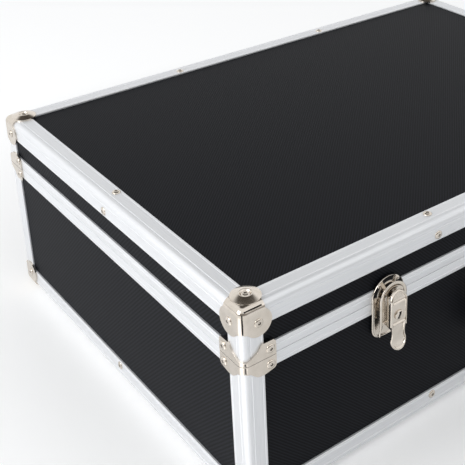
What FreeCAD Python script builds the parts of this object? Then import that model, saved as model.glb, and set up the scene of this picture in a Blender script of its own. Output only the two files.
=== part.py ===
"""Flight case for compact discs: black panels in an aluminium frame, hinged lid, two lockable latches.

X runs along the front, Y from the front to the back and Z up. The shape is laid out about the middle
of the case, and SHIFT then moves every piece so that the origin is under the middle of the whole object.
Each latch is a lever on a fixed pin that carries its bail on a second pin; shut, the bail lies over the
keeper's ledge and pulls behind the first pin, and the lock's cam stands behind a hook of the plate.
"""

import FreeCAD, Part
import os
import re
import Sketcher

doc = FreeCAD.newDocument("flight_case")

# Driving dimensions in millimetres and degrees
SIZES = {
    "case_width": (495, "outside width of the frame"),
    "case_depth": (354, "outside depth of the frame"),
    "case_height": (165, "top of the frame above the floor"),
    "lid_height": (41, "height of the lid from the parting"),
    "parting_height": ("=case_height - lid_height", "where lid and base meet"),
    "parting_gap": (0.3, "daylight between the two rims"),
    "ply": (5, "panel thickness"),
    "lining": (1.7, "lining of the walls and floor"),
    "lid_pad": (4, "foam pad under the lid"),
    "skin": (1.5, "wall of the aluminium profiles"),
    "leg": (16, "leg of the edge profiles"),
    "edge_radius": (4.5, "outer rounding of the frame"),
    "groove_near": (5.6, "inner groove, from the outer corner"),
    "groove_far": (13.6, "outer groove, from the outer corner"),
    "groove_width": (0.8, "width of the drawn grooves"),
    "groove_depth": (0.35, "depth of the drawn grooves"),
    "rim_band": (9, "outer height of each rim"),
    "rim_lip": (7, "inner height of each rim"),
    "rim_web": (1.5, "web between the two sides of a rim"),
    "channel_depth": (2.5, "channel in the base rim"),
    "tongue_width": (2.2, "tongue under the lid rim"),
    "tongue_depth": (2, "drop of the tongue"),
    "tongue_end": (1, "room at each end of a tongue"),
    "rim_groove": (5.4, "groove of a rim, from the parting"),
    "divider_board": (4, "thickness of the dividers"),
    "divider_below": (16.8, "top of the dividers below the parting"),
    "plate": (1.2, "sheet steel of corners and latches"),
    "cap_centre": (12, "middle of a corner's ear"),
    "cap_radius": (10, "radius of a corner's ear"),
    "cap_strip": (6, "width of a corner's folded strip"),
    "cap_reach": (20, "length of a corner's folded strip"),
    "cap_slit": (0.8, "open fold of a corner"),
    "slit_place": (2.6, "open fold, from the outer corner"),
    "slit_start": (5.2, "closed length of that fold"),
    "dome_height": (1.8, "dome that carries the case"),
    "dome_flat": (6, "radius of the dome's flat ring"),
    "dimple_radius": (3.9, "dimple round the corner's rivet"),
    "dimple_depth": (1.4, "depth of that dimple"),
    "bracket_reach": (24.4, "length of a middle bracket's leg"),
    "bracket_neck": (2.2, "height of the notched bracket at its fold"),
    "bracket_rise": (11.2, "height of the notched bracket's leg"),
    "bracket_wide": (12, "height of the plain bracket at the post"),
    "bracket_end": (8.8, "height of the plain bracket at its end"),
    "bracket_rivet": (20, "rivet of a bracket, from the outer corner"),
    "bracket_rivet_rise": (6, "rivet of a bracket, from the parting"),
    "rivet_radius": (3.25, "rivet head"),
    "rivet_height": (1.1, "height of a rivet head"),
    "rivet_inset": (11.5, "row of rivets, from the outer corner"),
    "latch_place": (129.5, "latch, from the middle of the case"),
    "latch_width": (30, "keeper and base plate of a latch"),
    "latch_drop": (32, "height of the base plate"),
    "latch_round": (8, "lower corners of the base plate"),
    "lever_width": (15, "width of the lever"),
    "lever_sheet": (1, "sheet of the lever"),
    "lever_waist": (11.2, "width of the lever's tongue"),
    "lever_tail_round": (7, "rounded end of the tongue"),
    "lever_curl": (2, "outward curl of the tongue"),
    "lever_front": (12.8, "lever's face in front of the frame"),
    "lever_pivot_rise": (2.5, "lever's pin above the parting"),
    "lever_pivot_out": (9.7, "lever's pin in front of the frame"),
    "lug_eye": (2, "radius of the lugs round the lever's pin"),
    "lever_wall_back": (4.8, "back of the lever's walls in front of the frame"),
    "lever_tail": (40, "lever's tip below its pin"),
    "bail_pivot_drop": (17.5, "bail's pins below the lever's pin"),
    "bail_pivot_out": (6.2, "bail's pins in front of the frame"),
    "bail_inner": (9.4, "inner radius of the bail"),
    "bail_outer": (12, "outer radius of the bail"),
    "bail_plate": (1.6, "thickness of the bail"),
    "bail_tip": (9.5, "bail's tips below its pins"),
    "window_length": (8, "windows in the keeper, along the arch"),
    "window_width": (3, "windows in the keeper, across the arch"),
    "ledge_gap": (0.2, "room between the bail and its ledge"),
    "pin_radius": (1.2, "pins of the latch"),
    "running_gap": (0.05, "radial clearance of every pin that turns"),
    "side_gap": (0.25, "side clearance of moving sheet parts"),
    "lock_radius": (3.5, "lock cylinder"),
    "lock_proud": (0.4, "lock in front of the lever"),
    "keyway_width": (1, "width of the keyway"),
    "keyway_height": (4.8, "height of the keyway"),
    "lock_drop": (11, "lock below the lever's pin"),
    "cam_reach": (4.7, "lock's cam from its axis"),
    "cam_back": (3.4, "back of the cam in front of the frame"),
    "cam_half": (1.5, "half width of the cam"),
    "hinge_width": (52, "width of a hinge"),
    "hinge_place": (150, "hinge, from the middle of the case"),
    "hinge_leaf": (18, "height of a hinge leaf"),
    "hinge_barrel": (3, "radius of the hinge's knuckles"),
    "hinge_pin": (1.5, "radius of the hinge's pin"),
    "hinge_out": (3.3, "hinge axis behind the frame"),
    "handle_span": (86, "distance between the handle's pins"),
    "handle_below": (27, "handle's pins below the parting"),
    "handle_height": ("=parting_height - handle_below", "height of the handle's pins"),
    "handle_out": (11, "handle's pins in front of the frame"),
    "handle_drop": (36, "grip below the pins"),
    "handle_grip": (8, "radius of the grip"),
    "handle_eye": (5, "radius of the eyes at the pins"),
    "handle_arm": (7, "width of the handle's arms"),
    "handle_pin": (2, "radius of the handle's pins"),
    "handle_lug": (1.5, "sheet of the handle's brackets"),
    "handle_plate_half": (8, "half width of a bracket's plate"),
    "handle_rivet_rise": (9.6, "rivets of a bracket above and below its pin"),
    "handle_plate_rise": (14, "half height of a bracket's plate"),
}

sheet = doc.addObject("Spreadsheet::Sheet", "Sizes")
for row, (alias, (value, note)) in enumerate(SIZES.items(), start=1):
    sheet.set(f"A{row}", note)
    sheet.set(f"B{row}", str(value))
    sheet.setAlias(f"B{row}", alias)
doc.recompute()

# Places that several pieces share, each worked out from the sheet
FLOOR = "(plate + dome_height)"
FRONT = "(-case_depth / 2)"
BACK = "(case_depth / 2)"
LEFT = "(-case_width / 2)"
PLY_IN = "(skin + ply)"
WALL_IN = "(skin + ply + lining)"
BASE_TOP = "(parting_height - parting_gap / 2)"
LID_LOW = "(parting_height + parting_gap / 2)"
BASE_PLY_TOP = f"({BASE_TOP} - channel_depth - rim_web)"
LID_PLY_LOW = f"({LID_LOW} + rim_web)"
FLOOR_IN = f"({FLOOR} + {PLY_IN} + lining)"
REACH_FRONT = "(handle_out + handle_grip)"
REACH_BACK = "(hinge_out + hinge_barrel)"
SHIFT = f"(({REACH_FRONT} - {REACH_BACK}) / 2)"
MIDDLE = f"(({FLOOR} + case_height) / 2)"

nodes = []


def expression(text):
    """Write each alias of the sheet as a reference to its cell."""
    return re.sub(r"[a-z_]+", lambda word: f"Sizes.{word[0]}" if word[0] in SIZES else word[0], str(text))


def size(alias):
    """Read one driving dimension."""
    return float(sheet.get(alias))


def bind(item, **places):
    """Bind properties of an object to the sheet."""
    for name, text in places.items():
        item.setExpression(name.replace("__", "."), expression(text))
    return item


def place(item, x="0", y="0", z="0"):
    """Bind the position of an object to the sheet."""
    return bind(item, Placement__Base__x=x, Placement__Base__y=y, Placement__Base__z=z)


def turn(item, axis, angle):
    """Turn an object about its own corner."""
    item.Placement = FreeCAD.Placement(item.Placement.Base, FreeCAD.Rotation(FreeCAD.Vector(*axis), angle))
    return item


def box(name, low, extent):
    """A block from its lowest corner and its three lengths."""
    item = doc.addObject("Part::Box", name)
    bind(item, Length=extent[0], Width=extent[1], Height=extent[2])
    return place(item, *low)


def bar(name, along, run, inward, upright):
    """A block along X or Y; each argument is a start and a length, inward from that side's outer plane."""
    low = [run[0], inward[0], upright[0]]
    extent = [run[1], inward[1], upright[1]]
    if along == "y":
        low[0], low[1] = low[1], low[0]
        extent[0], extent[1] = extent[1], extent[0]
    return box(name, low, extent)


def aim(item, axis):
    """Turn a piece that stands on Z so that it runs along an axis."""
    turns = {"x": ((0, 1, 0), 90), "y": ((1, 0, 0), -90), "z": ((0, 0, 1), 0)}
    return turn(item, *turns[axis])


def rod(name, radius, length, low, axis="z"):
    """A cylinder from a point along an axis: pins, bores and whatever turns in them."""
    item = doc.addObject("Part::Cylinder", name)
    bind(item, Radius=radius, Height=length)
    return place(aim(item, axis), *low)


def disc(name, radius, length, low, axis="z", sides=20):
    """A round form that nothing turns in, drawn with narrow flats to keep its mesh light."""
    item = doc.addObject("Part::Prism", name)
    item.Polygon = sides
    bind(item, Circumradius=radius, Height=length)
    return place(aim(item, axis), *low)


def taper(name, radius_low, radius_high, height, low, sides=24):
    """A round form that widens from one radius to another as it rises."""
    rings = []
    for end, radius, level in (("low", radius_low, "0"), ("high", radius_high, height)):
        ring = doc.addObject("Part::RegularPolygon", f"{name}_{end}")
        ring.Polygon = sides
        rings.append(place(bind(ring, Circumradius=radius), z=level))
    loft = doc.addObject("Part::Loft", f"{name}_loft")
    loft.Sections = rings
    loft.Solid = True
    loft.Ruled = True
    return place(group(name, loft), *low)


def fuse(name, *shapes):
    """Join shapes into one solid."""
    item = doc.addObject("Part::MultiFuse", name)
    item.Shapes = list(shapes)
    item.Refine = True
    return item


def group(name, *shapes):
    """Keep shapes together as separate solids."""
    item = doc.addObject("Part::Compound", name)
    item.Links = list(shapes)
    return item


def cut(name, base, *tools):
    """Take tools away from a shape."""
    item = doc.addObject("Part::Cut", name)
    item.Base = base
    item.Tool = tools[0] if len(tools) == 1 else group(f"{name}_tools", *tools)
    item.Refine = True
    return item


def common(name, *shapes):
    """Keep what all shapes share."""
    item = doc.addObject("Part::MultiCommon", name)
    item.Shapes = list(shapes)
    item.Refine = True
    return item


ACROSS_X = (1, 0, 0)
ACROSS_Y = (0, 1, 0)
ACROSS_Z = (0, 0, 1)


def mirror(source, normal, x="0", y="0", z="0"):
    """The same piece on the other side of a plane through a point."""
    item = doc.addObject("Part::Mirroring", f"{source.Name}_mirrored")
    item.Source = source
    item.Normal = FreeCAD.Vector(*normal)
    return bind(item, Base__x=x, Base__y=y, Base__z=z)


def both_sides(piece):
    """A piece on the left and its mirror image on the right."""
    return [piece, mirror(piece, ACROSS_X)]


def four_corners(piece):
    """A piece at the front left and its images at the other three corners."""
    front = both_sides(piece)
    return front + [mirror(corner, ACROSS_Y) for corner in front]


PLANES = {"xy": ((0, 0, 1), 0), "xz": ((1, 0, 0), 90), "yz": ((1, 1, 1), 120)}


def outline(name, plane, corners):
    """A closed sketch of straight lines on one of the three planes."""
    sketch = turn(doc.addObject("Sketcher::SketchObject", name), *PLANES[plane])
    plan = [[float(sheet.evalExpression(expression(text))) for text in corner] for corner in corners]
    points = [FreeCAD.Vector(x, y, 0) for x, y in plan]
    count = len(points)
    for index, point in enumerate(points):
        sketch.addGeometry(Part.LineSegment(point, points[(index + 1) % count]), False)
    for index in range(count):
        sketch.addConstraint(Sketcher.Constraint("Coincident", index, 2, (index + 1) % count, 1))
    for index, corner in enumerate(corners):
        for kind, axis, text, value in zip(("DistanceX", "DistanceY"), "xy", corner, plan[index]):
            number = sketch.addConstraint(Sketcher.Constraint(kind, -1, 1, index, 1, value))
            sketch.renameConstraint(number, f"{axis}{index}")
            sketch.setExpression(f"Constraints.{axis}{index}", expression(text))
    return sketch


def prism(name, sketch, direction, length):
    """Carry an outline along a direction."""
    item = doc.addObject("Part::Extrusion", name)
    item.Base = sketch
    item.DirMode = "Custom"
    item.Dir = FreeCAD.Vector(*direction)
    item.Solid = True
    return bind(item, LengthFwd=length)


def node(label, *pieces):
    """Gather the solids of a finished sub-part under its name and move them with the whole object."""
    item = place(group(label, *pieces), y=SHIFT)
    item.Label = label
    nodes.append(item)


# Rounded block that the whole frame stays inside, and the skin over it that corners are cut from
def rounded(name, grow, radius):
    """A block round the frame, its edges rounded one direction at a time."""
    low = (f"{LEFT} - {grow}", f"{FRONT} - {grow}", f"{FLOOR} - {grow}")
    extent = (f"case_width + 2 * {grow}", f"case_depth + 2 * {grow}", f"case_height - {FLOOR} + 2 * {grow}")
    blocks = []
    for axis in "xyz":
        block = box(f"{name}_{axis}_block", low, extent)
        doc.recompute()
        edges = [index for index, edge in enumerate(block.Shape.Edges, start=1)
                 if abs(getattr(edge.tangentAt(edge.FirstParameter), axis)) > 0.5]
        item = doc.addObject("Part::Fillet", f"{name}_{axis}")
        item.Base = block
        item.Edges = [(index, radius, radius) for index in edges]
        blocks.append(item)
    return common(name, *blocks)


frame_block = rounded("frame_round", "0", size("edge_radius"))
sheet_block = rounded("sheet_round", "plate", size("edge_radius") + size("plate"))
sheet_skin = cut("sheet_skin", sheet_block, frame_block)


# Wooden panels, black laminate outside
def panels(part, low, top, flat_low, flat_label):
    """Four upright panels from low to top and the flat one that closes them."""
    height = f"{top} - {low}"
    wide = ("case_width - 2 * skin", "ply", height)
    deep = ("ply", f"case_depth - 2 * {PLY_IN}", height)
    front = box(f"{part}_front_board", (f"{LEFT} + skin", f"{FRONT} + skin", low), wide)
    left = box(f"{part}_left_board", (f"{LEFT} + skin", f"{FRONT} + {PLY_IN}", low), deep)
    node(f"{part}_front_panel", front)
    node(f"{part}_back_panel", mirror(front, ACROSS_Y))
    node(f"{part}_left_panel", left)
    node(f"{part}_right_panel", mirror(left, ACROSS_X))
    flat = box(f"{part}_flat_board", (f"{LEFT} + skin", f"{FRONT} + skin", flat_low),
               ("case_width - 2 * skin", "case_depth - 2 * skin", "ply"))
    node(flat_label, common(f"{part}_flat_round", flat, frame_block))


panels("base", f"({FLOOR} + {PLY_IN})", BASE_PLY_TOP, f"{FLOOR} + skin", "base_bottom_panel")
panels("lid", LID_PLY_LOW, f"(case_height - {PLY_IN})", f"case_height - {PLY_IN}", "lid_top_panel")


# Aluminium profiles along the bottom and top edges, mitred at the corners
def mitre(name, along):
    """The plan of one side's profile with its two mitred ends."""
    far_x, far_y = f"-{LEFT}", f"-{FRONT}"
    near = (f"{LEFT} + leg", f"{FRONT} + leg")
    plans = {
        "x": [(LEFT, FRONT), (far_x, FRONT), (f"{far_x} - leg", f"{FRONT} + leg"), near],
        "y": [(LEFT, FRONT), near, (f"{LEFT} + leg", f"{far_y} - leg"), (LEFT, far_y)],
    }
    return prism(f"{name}_mitre", outline(f"{name}_plan", "xy", plans[along]), (0, 0, 1), "case_height")


def edge_profile(name, along, upper):
    """An angle profile along the front or the left side, with two grooves drawn in each leg."""
    run, side = ((LEFT, "case_width"), FRONT) if along == "x" else ((FRONT, "case_depth"), LEFT)
    flat_low, wall_low = ("case_height - skin", "case_height - leg") if upper else (FLOOR, FLOOR)
    flat = bar(f"{name}_flat", along, run, (side, "leg"), (flat_low, "skin"))
    wall = bar(f"{name}_wall", along, run, (side, "skin"), (wall_low, "leg"))
    grooves = []
    for groove in ("groove_near", "groove_far"):
        face = "case_height - groove_depth" if upper else FLOOR
        level = f"case_height - {groove} - groove_width" if upper else f"{FLOOR} + {groove}"
        grooves.append(bar(f"{name}_{groove}_flat", along, run, (f"{side} + {groove}", "groove_width"),
                           (face, "groove_depth")))
        grooves.append(bar(f"{name}_{groove}_wall", along, run, (side, "groove_depth"),
                           (level, "groove_width")))
    profile = cut(f"{name}_profile", fuse(f"{name}_angle", flat, wall), *grooves)
    return common(name, profile, mitre(name, along), frame_block)


for part, upper in (("base", False), ("lid", True)):
    front = edge_profile(f"{part}_front_angle", "x", upper)
    left = edge_profile(f"{part}_left_angle", "y", upper)
    node(f"{part}_front_edge", front)
    node(f"{part}_back_edge", mirror(front, ACROSS_Y))
    node(f"{part}_left_edge", left)
    node(f"{part}_right_edge", mirror(left, ACROSS_X))


# Aluminium posts at the four upright corners
def post(name, low, top):
    """An upright angle profile at the front left corner."""
    height = f"{top} - {low}"
    legs = fuse(f"{name}_angle", box(f"{name}_front", (LEFT, FRONT, low), ("leg", "skin", height)),
                box(f"{name}_left", (LEFT, FRONT, low), ("skin", "leg", height)))
    grooves = []
    for groove in ("groove_near", "groove_far"):
        grooves.append(box(f"{name}_{groove}_front", (f"{LEFT} + {groove}", FRONT, low),
                           ("groove_width", "groove_depth", height)))
        grooves.append(box(f"{name}_{groove}_left", (LEFT, f"{FRONT} + {groove}", low),
                           ("groove_depth", "groove_width", height)))
    return common(name, cut(f"{name}_profile", legs, *grooves), frame_block)


node("base_posts", *four_corners(post("base_post", f"({FLOOR} + leg)", BASE_TOP)))
node("lid_posts", *four_corners(post("lid_post", LID_LOW, "(case_height - leg)")))


# Rims where lid and base meet: a channel all round the base takes a tongue all round the lid
def rim(name, along, upper):
    """The front or left rim, which wraps the edge of its panel."""
    start, span, side = (LEFT, "case_width", FRONT) if along == "x" else (FRONT, "case_depth", LEFT)
    inset = "skin" if along == "x" else WALL_IN
    lip_inset = PLY_IN if along == "x" else WALL_IN
    outer_run = (f"{start} + leg", f"{span} - 2 * leg")
    inner_run = (f"{start} + {inset}", f"{span} - 2 * {inset}")
    lip_run = (f"{start} + {lip_inset}", f"{span} - 2 * {lip_inset}")
    outer_low = LID_LOW if upper else f"{BASE_TOP} - rim_band"
    web_low = LID_LOW if upper else f"{BASE_TOP} - channel_depth - rim_web"
    lip_low = LID_LOW if upper else f"{BASE_TOP} - rim_lip"
    groove_low = f"{LID_LOW} + rim_groove" if upper else f"{BASE_TOP} - rim_groove - groove_width"
    walls = [
        bar(f"{name}_outer", along, outer_run, (side, "skin"), (outer_low, "rim_band")),
        bar(f"{name}_web", along, inner_run, (f"{side} + skin", "ply + lining"), (web_low, "rim_web")),
        bar(f"{name}_lip", along, lip_run, (f"{side} + {PLY_IN}", "lining"), (lip_low, "rim_lip")),
    ]
    if upper:
        tongue_run = (f"{start} + {inset} + tongue_end", f"{span} - 2 * ({inset} + tongue_end)")
        tongue_in = (f"{side} + skin + (ply - tongue_width) / 2", "tongue_width")
        walls.append(bar(f"{name}_tongue", along, tongue_run, tongue_in,
                         (f"{LID_LOW} - tongue_depth", "tongue_depth")))
    groove = bar(f"{name}_groove", along, outer_run, (side, "groove_depth"), (groove_low, "groove_width"))
    return cut(name, fuse(f"{name}_section", *walls), groove)


for part, upper in (("base", False), ("lid", True)):
    front = rim(f"{part}_front_closure", "x", upper)
    left = rim(f"{part}_left_closure", "y", upper)
    node(f"{part}_front_rim", front)
    node(f"{part}_back_rim", mirror(front, ACROSS_Y))
    node(f"{part}_left_rim", left)
    node(f"{part}_right_rim", mirror(left, ACROSS_X))


# Lining glued to the panels, the pad that holds the discs down, and the two dividers
def wall_lining(part, low, top):
    """Four sheets inside the upright panels."""
    height = f"{top} - {low}"
    front = box(f"{part}_front_sheet", (f"{LEFT} + {PLY_IN}", f"{FRONT} + {PLY_IN}", low),
                (f"case_width - 2 * {PLY_IN}", "lining", height))
    left = box(f"{part}_left_sheet", (f"{LEFT} + {PLY_IN}", f"{FRONT} + {WALL_IN}", low),
               ("lining", f"case_depth - 2 * {WALL_IN}", height))
    return [front, mirror(front, ACROSS_Y), left, mirror(left, ACROSS_X)]


floor_sheet = box("floor_sheet", (f"{LEFT} + {PLY_IN}", f"{FRONT} + {PLY_IN}", f"{FLOOR} + {PLY_IN}"),
                  (f"case_width - 2 * {PLY_IN}", f"case_depth - 2 * {PLY_IN}", "lining"))
node("base_lining", floor_sheet, *wall_lining("base", FLOOR_IN, f"({BASE_TOP} - rim_lip)"))
node("lid_lining", *wall_lining("lid", f"({LID_LOW} + rim_lip)", f"(case_height - {PLY_IN})"))
pad_low = (f"{LEFT} + {WALL_IN}", f"{FRONT} + {WALL_IN}", f"case_height - {PLY_IN} - lid_pad")
pad_extent = (f"case_width - 2 * {WALL_IN}", f"case_depth - 2 * {WALL_IN}", "lid_pad")
node("lid_pad", box("pad", pad_low, pad_extent))
divider_x = f"-(case_width / 2 - {WALL_IN}) / 3 - divider_board / 2"
divider_top = "parting_height - divider_below"
divider = box("divider", (divider_x, f"{FRONT} + {WALL_IN}", FLOOR_IN),
              ("divider_board", f"case_depth - 2 * {WALL_IN}", f"{divider_top} - {FLOOR_IN}"))
node("left_divider", divider)
node("right_divider", mirror(divider, ACROSS_X))


# Steel corners: three round ears folded from one sheet, two of the folds left open, one ear domed
CAP_SIDES = 16


def corner_cap():
    """The front left bottom corner; its dome stands on the floor."""
    ear_x, ear_y, ear_z = f"{LEFT} + cap_centre", f"{FRONT} + cap_centre", f"{FLOOR} + cap_centre"
    skin_x, skin_y, skin_z = f"{LEFT} - plate", f"{FRONT} - plate", f"{FLOOR} - plate"
    depth, wide, long = "plate + edge_radius", "cap_strip + plate", "cap_reach + plate"
    reach = fuse("cap_reach_form",
                 disc("cap_ear_bottom", "cap_radius", depth, (ear_x, ear_y, skin_z), sides=CAP_SIDES),
                 disc("cap_ear_front", "cap_radius", depth, (ear_x, skin_y, ear_z), "y", sides=CAP_SIDES),
                 disc("cap_ear_left", "cap_radius", depth, (skin_x, ear_y, ear_z), "x", sides=CAP_SIDES),
                 box("cap_strip_x", (skin_x, skin_y, skin_z), (long, wide, wide)),
                 box("cap_strip_y", (skin_x, skin_y, skin_z), (wide, long, wide)),
                 box("cap_strip_z", (skin_x, skin_y, skin_z), (wide, wide, long)))
    dome = taper("cap_dome", "dome_flat", "cap_radius", "dome_height", (ear_x, ear_y, "0"), sides=CAP_SIDES)
    slits = [
        box("cap_slit_upright", (f"{LEFT} + slit_place", f"{FRONT} - 2 * plate", f"{FLOOR} + slit_start"),
            ("cap_slit", "3 * plate", "cap_reach")),
        box("cap_slit_level", (f"{LEFT} + slit_start", f"{FRONT} - 2 * plate", f"{FLOOR} + slit_place"),
            ("cap_centre", "3 * plate", "cap_slit")),
    ]
    dimple_low = (ear_x, ear_y, "-dimple_depth")
    dimple = disc("cap_dimple", "dimple_radius", "2 * dimple_depth", dimple_low, sides=8)
    folded = common("cap_folded", sheet_skin, reach)
    return cut("corner_cap", fuse("cap_whole", folded, dome), *slits, dimple)


cap = corner_cap()
node("base_corners", *four_corners(cap))
node("lid_corners", *four_corners(mirror(cap, ACROSS_Z, z=MIDDLE)))


# Steel brackets that tie each post to the rims, one kind notched to a narrow neck and one kind plain
def bracket(name, corners):
    """A bracket folded round the front left corner above the parting, from its outline on the front."""
    plan = outline(f"{name}_outline", "xz", corners)
    front = place(prism(f"{name}_front", plan, (0, 1, 0), "bracket_reach"), y=f"{FRONT} - plate")
    room = box(f"{name}_front_room", (f"{LEFT} - plate", f"{FRONT} - plate", "0"),
               ("bracket_reach + plate", "plate + edge_radius", "case_height"))
    strip = common(f"{name}_front_form", front, room)
    left = mirror(strip, (1, -1, 0), LEFT, FRONT)
    return common(name, sheet_skin, fuse(f"{name}_form", strip, left))


def rise(text):
    """A height above the lid's lower edge."""
    return f"{LID_LOW} + {text}"


end_x = f"{LEFT} + bracket_reach"
round_off = "0.22 * bracket_end"
notched = bracket("notched_bracket", [
    (f"{LEFT} - plate", LID_LOW), (end_x, LID_LOW), (end_x, rise(f"bracket_rise - {round_off}")),
    (f"{end_x} - {round_off}", rise("bracket_rise")), (f"{LEFT} + 0.8 * leg", rise("bracket_rise")),
    (f"{LEFT} + 0.65 * leg", rise("0.65 * bracket_rise")), (f"{LEFT} + bracket_neck", rise("bracket_neck")),
    (f"{LEFT} - plate", rise("bracket_neck"))])
plain = bracket("plain_bracket", [
    (f"{LEFT} - plate", LID_LOW), (end_x, LID_LOW), (end_x, rise(f"bracket_end - {round_off}")),
    (f"{end_x} - {round_off} / 2", rise("bracket_end")), (f"{LEFT} + leg", rise("bracket_wide")),
    (f"{LEFT} - plate", rise("bracket_wide"))])
notched_low = mirror(notched, ACROSS_Z, z="parting_height")
plain_low = mirror(plain, ACROSS_Z, z="parting_height")
node("lid_brackets", *both_sides(notched), *both_sides(mirror(plain, ACROSS_Y)))
node("base_brackets", *both_sides(plain_low), *both_sides(mirror(notched_low, ACROSS_Y)))


# Blind rivets
FACING_FRONT = ((1, 0, 0), 90)
FACING_BACK = ((1, 0, 0), -90)
FACING_LEFT = ((0, 1, 0), -90)
FACING_DOWN = ((1, 0, 0), 180)
FACING_UP = ((0, 0, 1), 0)


def rivet(name, low, facing):
    """A low head on a surface; its shank is left out."""
    head = disc(name, "rivet_radius", "rivet_height", ("0", "0", "0"), sides=6)
    return place(turn(head, *facing), *low)


third = "-case_width / 6"
row_z = f"{FLOOR} + rivet_inset"
ear_x, ear_y, ear_z = f"{LEFT} + cap_centre", f"{FRONT} + cap_centre", f"{FLOOR} + cap_centre"
corner_rivets = [
    rivet("rivet_edge_front", (third, FRONT, row_z), FACING_FRONT),
    rivet("rivet_edge_bottom", (third, f"{FRONT} + rivet_inset", FLOOR), FACING_DOWN),
    rivet("rivet_cap_front", (ear_x, f"{FRONT} - plate", ear_z), FACING_FRONT),
    rivet("rivet_cap_left", (f"{LEFT} - plate", ear_y, ear_z), FACING_LEFT),
    rivet("rivet_cap_bottom", (ear_x, ear_y, "dimple_depth"), FACING_DOWN),
]
side_rivets = [
    rivet("rivet_side_left", (LEFT, "0", row_z), FACING_LEFT),
    rivet("rivet_side_bottom", (f"{LEFT} + rivet_inset", "0", FLOOR), FACING_DOWN),
]
bracket_z = "parting_height - bracket_rivet_rise"
bracket_rivets = [
    rivet("rivet_bracket_front", (f"{LEFT} + bracket_rivet", f"{FRONT} - plate", bracket_z), FACING_FRONT),
    rivet("rivet_bracket_left", (f"{LEFT} - plate", f"{FRONT} + bracket_rivet", bracket_z), FACING_LEFT),
]
hinge_rivets = [
    rivet(f"rivet_hinge_{index}", (f"-hinge_place + {side} * hinge_width / 3", f"{BACK} + plate",
                                   "parting_height - hinge_leaf + 2 * rivet_radius"), FACING_BACK)
    for index, side in enumerate((-1, 1))
]
handle_rivets = [
    rivet(f"rivet_handle_{index}",
          ("-handle_span / 2", FRONT, f"handle_height + {side} * handle_rivet_rise"), FACING_FRONT)
    for index, side in enumerate((-1, 1))
]
base_heads = corner_rivets + bracket_rivets
lid_heads = [mirror(head, ACROSS_Z, z=MIDDLE) for head in corner_rivets]
lid_heads += [mirror(head, ACROSS_Z, z="parting_height") for head in bracket_rivets]
base_mid = side_rivets + hinge_rivets + handle_rivets
lid_mid = [mirror(head, ACROSS_Z, z=MIDDLE) for head in side_rivets]
lid_mid += [mirror(head, ACROSS_Z, z="parting_height") for head in hinge_rivets]
node("base_rivets", *[copy for head in base_heads for copy in four_corners(head)],
     *[copy for head in base_mid for copy in both_sides(head)])
node("lid_rivets", *[copy for head in lid_heads for copy in four_corners(head)],
     *[copy for head in lid_mid for copy in both_sides(head)])


# Latches: a base plate with two lugs, a lever with a lock, a bail on the lever and a keeper on the lid
LATCH = "(-latch_place)"
PIN_Y = f"({FRONT} - lever_pivot_out)"
PIN_Z = "(parting_height + lever_pivot_rise)"
BAIL_Y = f"({FRONT} - bail_pivot_out)"
BAIL_Z = f"({PIN_Z} - bail_pivot_drop)"
LOCK_Z = f"({PIN_Z} - lock_drop)"
HALF = "(lever_width / 2)"
LUG_OUT = f"({HALF} - lever_sheet - side_gap)"
WINDOW_TURN = 62


def latch_plate():
    """The base plate, its backing on the panel, two lugs with the lever's pins, and the cam's hook."""
    low = f"{BASE_TOP} - latch_drop"
    face, back = f"{FRONT} - plate", "plate"
    rounds = "latch_width / 2 - latch_round"
    pin_in, pin_out = f"({LUG_OUT} - plate / 2)", f"({HALF} + side_gap)"
    pieces = [
        box("latch_plate_wide", (f"{LATCH} - latch_width / 2", face, f"{low} + latch_round"),
            ("latch_width", back, "latch_drop - latch_round")),
        box("latch_plate_foot", (f"{LATCH} - ({rounds})", face, low),
            (f"2 * ({rounds})", back, "latch_round")),
        box("latch_plate_pad", (f"{LATCH} - latch_width / 2 + plate", FRONT, f"{low} + latch_round"),
            ("latch_width - 2 * plate", "skin", "latch_drop - latch_round - rim_band")),
    ]
    for index, side in enumerate((-1, 1)):
        pieces.append(disc(f"latch_plate_round_{index}", "latch_round", back,
                          (f"{LATCH} + {side} * ({rounds})", face, f"{low} + latch_round"), "y"))
        inner = f"{LATCH} + {side} * ({LUG_OUT} - plate / 2) - plate / 2"
        web = outline(f"latch_lug_outline_{index}", "yz", [
            (face, f"{BASE_TOP} - 0.35 * latch_drop"), (face, f"{BASE_TOP} - plate / 2"),
            (f"{PIN_Y} + 0.5 * lug_eye", f"{PIN_Z} + 0.85 * lug_eye"),
            (f"{PIN_Y} - 0.5 * lug_eye", f"{PIN_Z} + 0.85 * lug_eye"),
            (f"{PIN_Y} - 0.95 * lug_eye", PIN_Z), (f"{PIN_Y} - 0.7 * lug_eye", f"{PIN_Z} - 0.7 * lug_eye")])
        pieces.append(place(prism(f"latch_lug_{index}", web, (1, 0, 0), "plate"), x=inner))
        pin_x = f"{LATCH} - {pin_out}" if side < 0 else f"{LATCH} + {pin_in}"
        pieces.append(rod(f"latch_pin_{index}", "pin_radius", f"{pin_out} - {pin_in}",
                          (pin_x, PIN_Y, PIN_Z), "x"))
    keeper_x = f"{LATCH} + lock_radius + side_gap"
    keeper_y = f"{FRONT} - cam_back - 2.4 * plate"
    keeper_low = f"{LOCK_Z} - cam_reach - plate"
    keeper_low_corner = (keeper_x, keeper_y, keeper_low)
    pieces.append(box("latch_hook_foot", keeper_low_corner, ("plate", "cam_back + 1.4 * plate", "plate")))
    pieces.append(box("latch_hook_lip", keeper_low_corner, ("plate", "plate", "cam_reach + 2 * plate")))
    return fuse("latch_plate", *pieces)


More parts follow.
